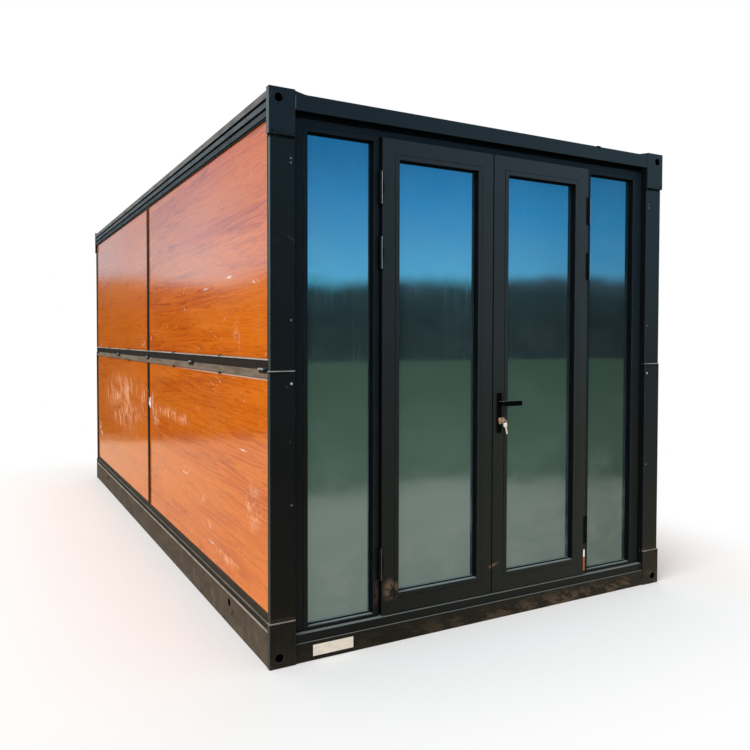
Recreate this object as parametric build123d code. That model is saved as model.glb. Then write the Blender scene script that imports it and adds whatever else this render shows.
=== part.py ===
"""Folding container cabin, standing erected: steel end frames, two-row folding side walls
and a glazed front with a pair of doors.

Millimetres, +Z up. The origin is on the ground at the middle of the base. The glazed front
looks towards -Y, and the two long walls stand at -X and +X.
"""

from build123d import *
import os

# ---------------------------------------------------------------- overall size
WIDTH = 2420
LENGTH = 5000
HEIGHT = 2500

HALF_WIDTH = WIDTH / 2
HALF_LENGTH = LENGTH / 2

# ---------------------------------------------------------------- end frames
BLOCK_WIDTH = 122
BLOCK_HEIGHT = 200
CAP_DEPTH = 30
LEG_WIDTH = 52
END_DEPTH = 112
LASHING_RADIUS = 19.5
LASHING_INSET = 45
PIN_RADIUS = 5
PIN_SIDE_INSET = 16
PIN_SEAM_INSET = 12
PIN_DEPTH = 12
FOLDED_EDGE = 3
SEAM_EDGE = 1.5

LOWER_POST_SETBACK = 5
UPPER_POST_SETBACK = 8
POST_SEAM = 1292

BEAM_SETBACK = 6
BASE_BEAM_TOP = 85
ROOF_BEAM_BOTTOM = 2415
ROOF_BEAM_TOP = 2487
TUBE_WALL = 5

# ---------------------------------------------------------------- long rails
RAIL_SETBACK = 3
RAIL_INNER = 70
BASE_RAIL_TOP = 158
BASE_RAIL_LIP = 8
CABLE_HOLE_RADIUS = 21
CABLE_HOLE_HEIGHT = 112
CABLE_HOLE_FROM_FRONT = 580
CABLE_HOLE_FROM_REAR = 710

ROOF_RAIL_BOTTOM = 2378
ROOF_RAIL_TOP = 2487
ROOF_RAIL_GROOVES = (2405, 2444)
GROOVE_HEIGHT = 10
GROOVE_DEPTH = 8
ROOF_RAIL_SKIN = 13

# ---------------------------------------------------------------- side walls
WALL_FACE = 8
WALL_BOTTOM_STEP = 188
WALL_STEP_SETBACK = 6
LOWER_BOARD = (228, 1256)
UPPER_BOARD = (1343, 2370)
FOLD_SEAM = (1296, 1298)
FOLD_LIP_HEIGHT = 8
FOLD_LIP_PROUD = 3
BOARD_SETBACK = 8
END_STRIP = 12
JOINT_STRIP = 40

FOLD_HINGES = 5
FOLD_HINGE_PITCH = 1200
FOLD_HINGE_LENGTH = 90
FOLD_HINGE_PLATE_HEIGHT = 36
FOLD_HINGE_PLATE = 3
FOLD_HINGE_RADIUS = 4

# ---------------------------------------------------------------- floor and roof
JOISTS = 11
JOIST_PITCH = 460
JOIST_WIDTH = 60
DECK_BOTTOM = 100
DECK_TOP = 124
CEILING = 2400
ROOF_PANEL_TOP = 2455
ROOF_SHEET = 6
ROOF_RIBS = 11
ROOF_RIB_PITCH = 440
ROOF_RIB_WIDTH = 40
ROOF_RIB_HEIGHT = 14

# ---------------------------------------------------------------- glazed front
FRAME_FACE = 42
FRAME_BACK = 102
FRAME_TOP = 2395
SILL_FACE = 16
JAMB_WIDTH = 74
SIDELIGHT_WIDTH = 332
SIDELIGHT_SILL = 140
SIDELIGHT_HEAD = 2343
SIDELIGHT_GLASS = (68, 88)
MULLION_WIDTH = 30
DOOR_HEAD = 2366
DOOR_GAP = 6
LIGHT_START = BLOCK_WIDTH + JAMB_WIDTH
MULLION_START = LIGHT_START + SIDELIGHT_WIDTH
MULLION_END = MULLION_START + MULLION_WIDTH
LEAF_START = MULLION_END + DOOR_GAP
STOP_FACE = 83
STOP_REACH = 14

LEAF_FACE = 22
LEAF_BACK = 77
LEAF_BOTTOM = 132
LEAF_TOP = 2360
LEAF_BORDER = 92
LEAF_GLASS = (50, 70)
MEETING_FLANGE = 12
MEETING_RELIEF = 6

HINGE_HEIGHTS = (375, 1830, 2130)
HINGE_LENGTH = 150
HINGE_RADIUS = 6
HINGE_PIN_RADIUS = 3.5
HINGE_PIN_CLEARANCE = 0.05
HINGE_PROUD = 2
HINGE_INSET = 2
HINGE_WEB = 4
HINGE_PLATE = 5
HINGE_PLATE_REACH = 6
KNUCKLE_GAP = 1

# ---------------------------------------------------------------- door furniture
HANDLE_INSET = 36
HANDLE_PLATE_SIZE = (28, 8, 210)
HANDLE_PLATE_MIDDLE = 1055
HANDLE_PLATE_CORNER = 13
HANDLE_PLATE_ROUNDING = 2
LEVER_HEIGHT = 1103
LEVER_HUB_RADIUS = 11
LEVER_HUB_CLEARANCE = 0.5
LEVER_REACH = 116
LEVER_STANDOFF = 40
LEVER_SECTION = (14, 27)
LEVER_ROUNDING = 3
SPINDLE_RADIUS = 4
SPINDLE_CLEARANCE = 1
CYLINDER_HEIGHT = 1021
CYLINDER_RADIUS = 8.5
CYLINDER_STEM = 10
CYLINDER_TALL = 33
CYLINDER_PROUD = 6
KEY_BLADE = (2.4, 9)
KEY_BLADE_LENGTH = 8
KEY_BOW_RADIUS = 13
KEY_HOLE_RADIUS = 3
KEY_HOLE_INSET = 5

PLATE_FROM_BLOCK = 84
PLATE_SIZE = (200, 2, 50)
PLATE_BOTTOM = 20


def slab(x, y, z):
    """Box between a low and a high limit on each axis."""
    middle = [(low + high) / 2 for low, high in (x, y, z)]
    size = [high - low for low, high in (x, y, z)]
    return Pos(*middle) * Box(*size)


def from_left(*distances):
    """Places measured inwards from the left side's outermost plane, as X."""
    return tuple(distance - HALF_WIDTH for distance in distances)


def from_front(*distances):
    """Places measured inwards from the front's outermost plane, as Y."""
    return tuple(distance - HALF_LENGTH for distance in distances)


def right_of(shape):
    """The same piece on the other long side."""
    return mirror(shape, about=Plane.YZ)


def rear_of(shape):
    """The same piece at the other end."""
    return mirror(shape, about=Plane.XZ)


def rod(radius, start, end):
    """Round bar from one point to another."""
    axis = Vector(*end) - Vector(*start)
    circle = Plane(origin=start, z_dir=axis) * Circle(radius)
    return extrude(circle, amount=axis.length)


def save(node, *pieces):
    """Write one node from the solids of its pieces."""
    solids = [solid for piece in pieces for solid in piece.solids()]
    export_step(Compound(solids), f"parts/{node}.step")


# ================================================================ end frames


def soften_front(shape, axis, radius):
    """Round the edges of the front face that run along one axis."""
    return fillet(shape.edges().filter_by(axis).group_by(Axis.Y)[0], radius)


def corner_section(z, setback):
    """L-shaped upright at the front left: a cap across the end and a leg along the inside.

    It is folded from plate, so its upright edges on the end face are round.
    """
    cap = slab(from_left(setback, BLOCK_WIDTH), from_front(setback, CAP_DEPTH), z)
    leg = slab(
        from_left(BLOCK_WIDTH - LEG_WIDTH, BLOCK_WIDTH),
        from_front(CAP_DEPTH, END_DEPTH),
        z,
    )
    return soften_front(cap + leg, Axis.Z, FOLDED_EDGE)


def corner_block(z, hole_z, pin_z):
    """Corner fitting with its lashing hole through the cap and a small blind pin hole."""
    block = corner_section(z, 0)
    rims = block.faces().filter_by(Axis.Z).edges().group_by(Axis.Y)[0]
    block = fillet(rims, SEAM_EDGE)
    hole_x = LASHING_INSET - HALF_WIDTH
    hole = rod(
        LASHING_RADIUS,
        (hole_x, -HALF_LENGTH, hole_z),
        (hole_x, CAP_DEPTH - HALF_LENGTH, hole_z),
    )
    pin_x = PIN_SIDE_INSET - HALF_WIDTH
    pin = rod(
        PIN_RADIUS,
        (pin_x, -HALF_LENGTH, pin_z),
        (pin_x, PIN_DEPTH - HALF_LENGTH, pin_z),
    )
    return block - hole - pin


def end_beam(z):
    """Hollow steel beam with folded edges between the corner blocks at the front."""
    half = HALF_WIDTH - BLOCK_WIDTH
    y = from_front(BEAM_SETBACK, END_DEPTH)
    outer = soften_front(slab((-half, half), y, z), Axis.X, FOLDED_EDGE)
    inner = slab(
        (-half, half),
        (y[0] + TUBE_WALL, y[1] - TUBE_WALL),
        (z[0] + TUBE_WALL, z[1] - TUBE_WALL),
    )
    return outer - inner


def save_pair(name, front_left):
    """Write a corner piece as one node for each end, its two solids well apart."""
    rear_left = rear_of(front_left)
    save(f"{name}_front", front_left, right_of(front_left))
    save(f"{name}_rear", rear_left, right_of(rear_left))


def build_end_frames():
    bottom_block = corner_block(
        (0, BLOCK_HEIGHT),
        LASHING_INSET,
        BLOCK_HEIGHT - PIN_SEAM_INSET,
    )
    top_block = corner_block(
        (HEIGHT - BLOCK_HEIGHT, HEIGHT),
        HEIGHT - LASHING_INSET,
        HEIGHT - BLOCK_HEIGHT + PIN_SEAM_INSET,
    )
    save_pair("bottom_corner_blocks", bottom_block)
    save_pair("top_corner_blocks", top_block)

    lower_post = corner_section((BLOCK_HEIGHT, POST_SEAM), LOWER_POST_SETBACK)
    upper_post = corner_section((POST_SEAM, HEIGHT - BLOCK_HEIGHT), UPPER_POST_SETBACK)
    save_pair("lower_posts", lower_post)
    save_pair("upper_posts", upper_post)

    base_beam = end_beam((0, BASE_BEAM_TOP))
    save("base_beam_front", base_beam)
    save("base_beam_rear", rear_of(base_beam))

    half = HALF_WIDTH - BLOCK_WIDTH
    closing_strip = slab(
        (-half, half),
        from_front(FRAME_FACE + MEETING_FLANGE, FRAME_BACK),
        (FRAME_TOP, ROOF_BEAM_BOTTOM),
    )
    roof_beam = end_beam((ROOF_BEAM_BOTTOM, ROOF_BEAM_TOP)) + closing_strip
    save("roof_beam_front", roof_beam)
    save("roof_beam_rear", rear_of(roof_beam))


# ================================================================ long rails


def rail_run():
    """Y limits of everything that runs between the end caps."""
    end = HALF_LENGTH - CAP_DEPTH
    return (-end, end)


def base_side_rail():
    """Hollow bottom rail with a lip along its top edge and cable holes in its outer web."""
    run = rail_run()
    rail = slab(from_left(RAIL_SETBACK, RAIL_INNER), run, (0, BASE_RAIL_TOP))
    lip = slab(
        from_left(0, RAIL_SETBACK),
        run,
        (BASE_RAIL_TOP - BASE_RAIL_LIP, BASE_RAIL_TOP),
    )
    inside = slab(
        from_left(RAIL_SETBACK + TUBE_WALL, RAIL_INNER - TUBE_WALL),
        run,
        (TUBE_WALL, BASE_RAIL_TOP - TUBE_WALL),
    )
    rail = rail + lip - inside
    places = (
        CABLE_HOLE_FROM_FRONT - HALF_LENGTH,
        HALF_LENGTH - CABLE_HOLE_FROM_REAR,
    )
    for y in places:
        rail -= rod(
            CABLE_HOLE_RADIUS,
            (-HALF_WIDTH, y, CABLE_HOLE_HEIGHT),
            (RAIL_SETBACK + 2 * TUBE_WALL - HALF_WIDTH, y, CABLE_HOLE_HEIGHT),
        )
    return rail


def roof_side_rail():
    """Hollow top rail with two long grooves in its outer face."""
    run = rail_run()
    rail = slab(
        from_left(RAIL_SETBACK, RAIL_INNER),
        run,
        (ROOF_RAIL_BOTTOM, ROOF_RAIL_TOP),
    )
    for groove in ROOF_RAIL_GROOVES:
        rail -= slab(
            from_left(RAIL_SETBACK, RAIL_SETBACK + GROOVE_DEPTH),
            run,
            (groove, groove + GROOVE_HEIGHT),
        )
    inside = slab(
        from_left(RAIL_SETBACK + ROOF_RAIL_SKIN, RAIL_INNER - TUBE_WALL),
        run,
        (ROOF_RAIL_BOTTOM + TUBE_WALL, ROOF_RAIL_TOP - TUBE_WALL),
    )
    return rail - inside


def build_long_rails():
    base_rail = base_side_rail()
    save("base_rail_left", base_rail)
    save("base_rail_right", right_of(base_rail))
    roof_rail = roof_side_rail()
    save("roof_rail_left", roof_rail)
    save("roof_rail_right", right_of(roof_rail))


# ================================================================ side walls


def wall_uprights(z):
    """End strips and the middle joint strip of one wall row."""
    x = from_left(WALL_FACE, RAIL_INNER)
    low, high = rail_run()
    strips = (
        (low, low + END_STRIP),
        (-JOINT_STRIP / 2, JOINT_STRIP / 2),
        (high - END_STRIP, high),
    )
    return [slab(x, strip, z) for strip in strips]


def lower_wall_frame():
    """Bottom rail with a step, top rail under the fold and three uprights."""
    run = rail_run()
    foot = slab(
        from_left(WALL_FACE, RAIL_INNER),
        run,
        (BASE_RAIL_TOP, WALL_BOTTOM_STEP),
    )
    step = slab(
        from_left(WALL_FACE + WALL_STEP_SETBACK, RAIL_INNER),
        run,
        (WALL_BOTTOM_STEP, LOWER_BOARD[0]),
    )
    head = slab(
        from_left(WALL_FACE, RAIL_INNER),
        run,
        (LOWER_BOARD[1], FOLD_SEAM[0]),
    )
    return foot + step + head + wall_uprights(LOWER_BOARD)


def upper_wall_frame():
    """Bottom rail over the fold with its lip, thin top rail and three uprights."""
    run = rail_run()
    foot = slab(
        from_left(WALL_FACE, RAIL_INNER),
        run,
        (FOLD_SEAM[1], UPPER_BOARD[0]),
    )
    lip = slab(
        from_left(WALL_FACE - FOLD_LIP_PROUD, WALL_FACE),
        run,
        (UPPER_BOARD[0] - FOLD_LIP_HEIGHT, UPPER_BOARD[0]),
    )
    head = slab(
        from_left(WALL_FACE, RAIL_INNER),
        run,
        (UPPER_BOARD[1], ROOF_RAIL_BOTTOM),
    )
    return foot + lip + head + wall_uprights(UPPER_BOARD)


def wall_boards(z):
    """The two insulated boards of one wall row, one each side of the joint strip."""
    x = from_left(WALL_FACE + BOARD_SETBACK, RAIL_INNER)
    low, high = rail_run()
    front = slab(x, (low + END_STRIP, -JOINT_STRIP / 2), z)
    rear = slab(x, (JOINT_STRIP / 2, high - END_STRIP), z)
    return [front, rear]


def fold_hinges():
    """Hinges that join the two wall rows, on the outside of the fold."""
    seam = sum(FOLD_SEAM) / 2
    first = -FOLD_HINGE_PITCH * (FOLD_HINGES - 1) / 2
    hinges = []
    for index in range(FOLD_HINGES):
        y = first + index * FOLD_HINGE_PITCH
        run = (y - FOLD_HINGE_LENGTH / 2, y + FOLD_HINGE_LENGTH / 2)
        plate = slab(
            from_left(WALL_FACE - FOLD_HINGE_PLATE, WALL_FACE),
            run,
            (seam - FOLD_HINGE_PLATE_HEIGHT / 2, seam + FOLD_HINGE_PLATE_HEIGHT / 2),
        )
        barrel_x = FOLD_HINGE_RADIUS - HALF_WIDTH
        barrel = rod(
            FOLD_HINGE_RADIUS,
            (barrel_x, run[0], seam),
            (barrel_x, run[1], seam),
        )
        hinges.append(plate + barrel)
    return hinges


def build_side_walls():
    lower_frame = lower_wall_frame()
    upper_frame = upper_wall_frame()
    lower_boards = wall_boards(LOWER_BOARD)
    upper_boards = wall_boards(UPPER_BOARD)
    hinges = fold_hinges()
    save("lower_wall_frame_left", lower_frame)
    save("upper_wall_frame_left", upper_frame)
    save("lower_boards_left", *lower_boards)
    save("upper_boards_left", *upper_boards)
    save("fold_hinges_left", *hinges)
    save("lower_wall_frame_right", right_of(lower_frame))
    save("upper_wall_frame_right", right_of(upper_frame))
    save("lower_boards_right", *[right_of(board) for board in lower_boards])
    save("upper_boards_right", *[right_of(board) for board in upper_boards])
    save("fold_hinges_right", *[right_of(hinge) for hinge in hinges])


# ================================================================ rear wall


def build_rear_wall():
    """Plain end wall: a steel frame with a middle rail, and a board in each half."""
    half = HALF_WIDTH - BLOCK_WIDTH
    face, back = from_front(FRAME_FACE, END_DEPTH)
    y = (-back, -face)
    frame = slab((-half, half), y, (BASE_BEAM_TOP, FRAME_TOP))
    board_half = half - JAMB_WIDTH
    rows = ((LOWER_BOARD[0], LOWER_BOARD[1]), (UPPER_BOARD[0], SIDELIGHT_HEAD))
    boards = []
    for row in rows:
        frame -= slab((-board_half, board_half), y, row)
        board_y = (y[0], y[1] - BOARD_SETBACK)
        boards.append(slab((-board_half, board_half), board_y, row))
    save("rear_wall_frame", frame)
    save("rear_boards", *boards)


# ================================================================ floor and roof


def build_floor():
    half = HALF_WIDTH - RAIL_INNER
    first = -JOIST_PITCH * (JOISTS - 1) / 2
    joists = []
    for index in range(JOISTS):
        y = first + index * JOIST_PITCH
        run = (y - JOIST_WIDTH / 2, y + JOIST_WIDTH / 2)
        joists.append(slab((-half, half), run, (0, DECK_BOTTOM)))
    save("floor_joists", *joists)
    end = HALF_LENGTH - END_DEPTH
    save("floor_deck", slab((-half, half), (-end, end), (DECK_BOTTOM, DECK_TOP)))


def build_roof():
    half = HALF_WIDTH - RAIL_INNER
    end = HALF_LENGTH - END_DEPTH
    panel = slab((-half, half), (-end, end), (CEILING, ROOF_PANEL_TOP))
    save("roof_panel", panel)
    top = ROOF_PANEL_TOP + ROOF_SHEET
    sheet = slab((-half, half), (-end, end), (ROOF_PANEL_TOP, top))
    first = -ROOF_RIB_PITCH * (ROOF_RIBS - 1) / 2
    for index in range(ROOF_RIBS):
        y = first + index * ROOF_RIB_PITCH
        run = (y - ROOF_RIB_WIDTH / 2, y + ROOF_RIB_WIDTH / 2)
        sheet += slab((-half, half), run, (top, top + ROOF_RIB_HEIGHT))
    save("roof_sheet", sheet)


# ================================================================ glazed front


def build_front_frame():
    """Aluminium frame: jambs, mullions, head and sill, with stops behind the door leaves."""
    depth = from_front(FRAME_FACE, FRAME_BACK)
    stop_depth = from_front(STOP_FACE, FRAME_BACK)
    half = HALF_WIDTH - BLOCK_WIDTH
    light = from_left(LIGHT_START, MULLION_START)
    head_half = HALF_WIDTH - LIGHT_START
    door_half = HALF_WIDTH - MULLION_END

    jamb = slab(from_left(BLOCK_WIDTH, LIGHT_START), depth, (DECK_TOP, FRAME_TOP))
    save("front_jambs", jamb, right_of(jamb))

    mullion = slab(from_left(MULLION_START, MULLION_END), depth, (DECK_TOP, DOOR_HEAD))
    stop = slab(
        from_left(MULLION_END, MULLION_END + STOP_REACH),
        stop_depth,
        (DECK_TOP, DOOR_HEAD),
    )
    save("front_mullion_left", mullion + stop)
    save("front_mullion_right", right_of(mullion + stop))

    head = slab((-head_half, head_half), depth, (DOOR_HEAD, FRAME_TOP))
    light_head = slab(light, depth, (SIDELIGHT_HEAD, DOOR_HEAD))
    inner_half = door_half - STOP_REACH
    head_stop = slab(
        (-inner_half, inner_half),
        stop_depth,
        (DOOR_HEAD - STOP_REACH, DOOR_HEAD),
    )
    save("front_head", head + light_head + right_of(light_head) + head_stop)

    sill = slab(
        (-half, half),
        from_front(SILL_FACE, END_DEPTH),
        (BASE_BEAM_TOP, DECK_TOP),
    )
    light_sill = slab(light, depth, (DECK_TOP, SIDELIGHT_SILL))
    sill_stop = slab((-inner_half, inner_half), stop_depth, (DECK_TOP, SIDELIGHT_SILL))
    save("front_sill", sill + light_sill + right_of(light_sill) + sill_stop)

    glass = slab(
        light,
        from_front(*SIDELIGHT_GLASS),
        (SIDELIGHT_SILL, SIDELIGHT_HEAD),
    )
    save("sidelight_glass", glass, right_of(glass))


def leaf_frame():
    """Left leaf: a mitred border, relieved behind a thin flange at the meeting edge."""
    outer_x = (LEAF_START - HALF_WIDTH, -DOOR_GAP / 2)
    depth = from_front(LEAF_FACE, LEAF_BACK)
    leaf = slab(outer_x, depth, (LEAF_BOTTOM, LEAF_TOP)) - leaf_filling(depth)
    relief = slab(
        (outer_x[1] - MEETING_RELIEF, outer_x[1]),
        from_front(LEAF_FACE + MEETING_FLANGE, LEAF_BACK),
        (LEAF_BOTTOM, LEAF_TOP),
    )
    return leaf - relief


def leaf_filling(depth):
    """Whatever fills the left leaf's border between two depths."""
    x = (LEAF_START + LEAF_BORDER - HALF_WIDTH, -DOOR_GAP / 2 - LEAF_BORDER)
    return slab(x, depth, (LEAF_BOTTOM + LEAF_BORDER, LEAF_TOP - LEAF_BORDER))


def hinge_axis():
    """X and Y of the left leaf's hinge axis: over the mullion's edge, proud of the leaf."""
    x = MULLION_END - HINGE_INSET - HALF_WIDTH
    y = LEAF_FACE - HINGE_PROUD - HALF_LENGTH
    return x, y


def moving_third(height):
    """Z limits of the middle third of a hinge, which belongs to the leaf."""
    return height - HINGE_LENGTH / 6, height + HINGE_LENGTH / 6


def frame_hinge_half(height):
    """Fixed half: a web on the mullion's face, two knuckles and the pin between them."""
    x, y = hinge_axis()
    low = height - HINGE_LENGTH / 2
    high = height + HINGE_LENGTH / 2
    middle = moving_third(height)
    side = x - HINGE_RADIUS
    face = FRAME_FACE - HALF_LENGTH
    behind_knuckle = y + HINGE_RADIUS + KNUCKLE_GAP
    half = slab((side, side + HINGE_WEB), (behind_knuckle, face), (low, high))
    half += rod(HINGE_PIN_RADIUS, (x, y, low), (x, y, high))
    for start, end in ((low, middle[0]), (middle[1], high)):
        half += slab((side, side + HINGE_WEB), (y, face), (start, end))
        half += rod(HINGE_RADIUS, (x, y, start), (x, y, end))
    return half


def leaf_hinge_half(height):
    """Moving half: plate on the leaf with the middle knuckle around the pin."""
    x, y = hinge_axis()
    middle = moving_third(height)
    low = middle[0] + KNUCKLE_GAP
    high = middle[1] - KNUCKLE_GAP
    face = LEAF_FACE - HALF_LENGTH
    plate_end = LEAF_START + HINGE_PLATE_REACH - HALF_WIDTH
    plate = slab((x, plate_end), (face - HINGE_PLATE, face), (low, high))
    knuckle = rod(HINGE_RADIUS, (x, y, low), (x, y, high))
    bore = rod(HINGE_PIN_RADIUS + HINGE_PIN_CLEARANCE, (x, y, low), (x, y, high))
    return plate + knuckle - bore


def lever_axis(depth):
    """Point on the lever's axis at a distance behind the front plane."""
    x = DOOR_GAP / 2 + HANDLE_INSET
    return (x, depth - HALF_LENGTH, LEVER_HEIGHT)


def build_leaves():
    frame = leaf_frame()
    glass = leaf_filling(from_front(*LEAF_GLASS))
    spindle_hole = rod(
        SPINDLE_RADIUS + SPINDLE_CLEARANCE,
        lever_axis(LEAF_FACE),
        lever_axis(LEAF_BACK),
    )
    save("left_leaf_frame", frame)
    save("left_leaf_glass", glass)
    save("right_leaf_frame", right_of(frame) - spindle_hole)
    save("right_leaf_glass", right_of(glass))

    fixed = [frame_hinge_half(height) for height in HINGE_HEIGHTS]
    moving = [leaf_hinge_half(height) for height in HINGE_HEIGHTS]
    save("door_hinges_fixed", *fixed, *[right_of(half) for half in fixed])
    save("left_leaf_hinges", *moving)
    save("right_leaf_hinges", *[right_of(half) for half in moving])


# ================================================================ door furniture


def handle_plate(depth, shown):
    """Long round-ended backplate between two depths, with a seat for the lever's hub.

    The rim of the shown face is rounded: 0 is the face towards the front, -1 the other.
    """
    width, _, height = HANDLE_PLATE_SIZE
    x = DOOR_GAP / 2 + HANDLE_INSET
    plate = slab(
        (x - width / 2, x + width / 2),
        from_front(*depth),
        (HANDLE_PLATE_MIDDLE - height / 2, HANDLE_PLATE_MIDDLE + height / 2),
    )
    plate = fillet(plate.edges().filter_by(Axis.Y), HANDLE_PLATE_CORNER)
    rim = plate.faces().filter_by(Axis.Y).sort_by(Axis.Y)[shown].edges()
    plate = fillet(rim, HANDLE_PLATE_ROUNDING)
    hub_hole = rod(
        LEVER_HUB_RADIUS + LEVER_HUB_CLEARANCE,
        lever_axis(depth[0]),
        lever_axis(depth[1]),
    )
    return plate - hub_hole


def lever_arm(depth):
    """Bar with softened edges from the hub towards the hinges, between two depths."""
    x, _, z = lever_axis(0)
    height = LEVER_SECTION[1]
    bar = slab((x, x + LEVER_REACH), from_front(*depth), (z - height / 2, z + height / 2))
    free_end = bar.faces().sort_by(Axis.X)[-1].edges()
    return fillet(bar.edges().filter_by(Axis.X) + free_end, LEVER_ROUNDING)


def build_lever():
    """Outer and inner lever on one spindle through the right leaf."""
    thick = LEVER_SECTION[0]
    plate = HANDLE_PLATE_SIZE[1]
    outer_end = LEAF_FACE - plate - LEVER_STANDOFF
    inner_end = LEAF_BACK + plate + LEVER_STANDOFF
    lever = rod(SPINDLE_RADIUS, lever_axis(outer_end), lever_axis(inner_end))
    lever += rod(LEVER_HUB_RADIUS, lever_axis(outer_end), lever_axis(LEAF_FACE - 1))
    lever += rod(LEVER_HUB_RADIUS, lever_axis(LEAF_BACK + 1), lever_axis(inner_end))
    lever += lever_arm((outer_end, outer_end + thick))
    lever += lever_arm((inner_end - thick, inner_end))
    save("door_lever", lever)
    save(
        "handle_plates",
        handle_plate((LEAF_FACE - plate, LEAF_FACE), 0),
        handle_plate((LEAF_BACK, LEAF_BACK + plate), -1),
    )


def lock_profile(start, end):
    """Keyhole-shaped end of the lock cylinder: a round barrel over a narrow stem."""
    x = DOOR_GAP / 2 + HANDLE_INSET
    low = CYLINDER_HEIGHT + CYLINDER_RADIUS - CYLINDER_TALL
    half_stem = CYLINDER_STEM / 2
    y = from_front(start, end)
    barrel = rod(CYLINDER_RADIUS, (x, y[0], CYLINDER_HEIGHT), (x, y[1], CYLINDER_HEIGHT))
    stem = slab((x - half_stem, x + half_stem), y, (low + half_stem, CYLINDER_HEIGHT))
    foot = rod(half_stem, (x, y[0], low + half_stem), (x, y[1], low + half_stem))
    return barrel + stem + foot


def build_lock():
    """Lock cylinder showing through both plates, with a key in its outer end."""
    x = DOOR_GAP / 2 + HANDLE_INSET
    plate = HANDLE_PLATE_SIZE[1]
    front = LEAF_FACE - plate - CYLINDER_PROUD
    back = LEAF_BACK + plate + CYLINDER_PROUD
    save(
        "lock_cylinder",
        lock_profile(front, LEAF_FACE - plate),
        lock_profile(LEAF_BACK + plate, back),
    )

    half_thick, half_wide = KEY_BLADE[0] / 2, KEY_BLADE[1] / 2
    sides = (x - half_thick, x + half_thick)
    y_front = front - HALF_LENGTH
    blade = slab(
        sides,
        (y_front - KEY_BLADE_LENGTH, y_front),
        (CYLINDER_HEIGHT - half_wide, CYLINDER_HEIGHT + half_wide),
    )
    bow_y = y_front - KEY_BLADE_LENGTH - KEY_BOW_RADIUS + half_thick
    hole_y = bow_y - KEY_BOW_RADIUS + KEY_HOLE_INSET
    bow, ring_hole = (
        rod(radius, (sides[0], y, CYLINDER_HEIGHT), (sides[1], y, CYLINDER_HEIGHT))
        for radius, y in ((KEY_BOW_RADIUS, bow_y), (KEY_HOLE_RADIUS, hole_y))
    )
    save("lock_key", blade + bow - ring_hole)


def build_blank_plate():
    """Bare plate on the front base beam."""
    width, thick, height = PLATE_SIZE
    start = BLOCK_WIDTH + PLATE_FROM_BLOCK
    plate = slab(
        from_left(start, start + width),
        from_front(BEAM_SETBACK - thick, BEAM_SETBACK),
        (PLATE_BOTTOM, PLATE_BOTTOM + height),
    )
    save("blank_plate", plate)


os.makedirs("parts", exist_ok=True)
build_end_frames()
build_long_rails()
build_side_walls()
build_rear_wall()
build_floor()
build_roof()
build_front_frame()
build_leaves()
build_lever()
build_lock()
build_blank_plate()
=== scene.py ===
"""Folding container cabin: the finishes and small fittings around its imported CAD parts.

Metres, +Z up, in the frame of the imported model. The glazed front looks towards -Y, the long
walls stand at -X and +X, and the cabin rests on z = 0.
"""
import math
import random

import bmesh
import bpy
from mathutils import Matrix, Vector


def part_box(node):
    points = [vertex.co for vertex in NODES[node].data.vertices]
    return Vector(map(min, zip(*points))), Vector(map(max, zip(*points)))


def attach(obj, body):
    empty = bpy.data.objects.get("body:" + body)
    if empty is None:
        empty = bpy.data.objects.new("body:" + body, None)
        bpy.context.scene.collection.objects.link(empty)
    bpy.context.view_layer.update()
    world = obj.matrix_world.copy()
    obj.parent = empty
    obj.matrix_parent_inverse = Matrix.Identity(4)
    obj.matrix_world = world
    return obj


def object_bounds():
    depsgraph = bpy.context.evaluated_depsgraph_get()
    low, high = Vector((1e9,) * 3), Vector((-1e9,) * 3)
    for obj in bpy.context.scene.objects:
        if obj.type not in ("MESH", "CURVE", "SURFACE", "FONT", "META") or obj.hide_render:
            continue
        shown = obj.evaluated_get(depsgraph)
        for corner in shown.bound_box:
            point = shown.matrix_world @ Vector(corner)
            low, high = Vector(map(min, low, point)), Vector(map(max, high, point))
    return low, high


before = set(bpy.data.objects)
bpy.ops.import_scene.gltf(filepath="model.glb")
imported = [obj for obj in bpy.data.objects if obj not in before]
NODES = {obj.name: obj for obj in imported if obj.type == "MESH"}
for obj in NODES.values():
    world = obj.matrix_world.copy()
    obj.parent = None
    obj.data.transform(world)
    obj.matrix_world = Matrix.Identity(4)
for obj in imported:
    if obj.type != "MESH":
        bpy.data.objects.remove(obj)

cad_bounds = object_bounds()
MM = 0.001


# ================================================================ studio
# A plain pale floor that fades to white away from the cabin, an even white surround, and a
# wide soft lamp on the side of the long left wall. The camera stands near the front left
# corner post at head height.

EYE = Vector((-2.3117, -5.4345, 1.43))
TURN, TILT, LEAN = 0.5033, -0.0276, 0.0020
LENS_TO_SENSOR = 0.9728
SENSOR = 36.0
RISE = -0.0212


def aim(turn, tilt, lean):
    """Rotation of a camera turned from +Y towards +X, tilted up and leaning sideways."""
    level = Vector((math.cos(turn), -math.sin(turn), 0))
    ahead = Vector((math.sin(turn) * math.cos(tilt), math.cos(turn) * math.cos(tilt), math.sin(tilt)))
    upright = level.cross(ahead)
    right = math.cos(lean) * level + math.sin(lean) * upright
    up = math.cos(lean) * upright - math.sin(lean) * level
    return Matrix((right, up, -ahead)).transposed()


camera = bpy.data.objects.new("camera", bpy.data.cameras.new("camera"))
bpy.context.scene.collection.objects.link(camera)
camera.matrix_world = Matrix.Translation(EYE) @ aim(TURN, TILT, LEAN).to_4x4()
camera.data.sensor_width = SENSOR
camera.data.lens = LENS_TO_SENSOR * SENSOR
camera.data.shift_y = RISE
bpy.context.scene.camera = camera
bpy.context.scene.view_settings.view_transform = "Standard"


def linear(code):
    """An sRGB hex colour as linear red, green, blue and alpha."""
    parts = [int(code[i : i + 2], 16) / 255 for i in (1, 3, 5)]
    return (*[c / 12.92 if c <= 0.04045 else ((c + 0.055) / 1.055) ** 2.4 for c in parts], 1)


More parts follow.
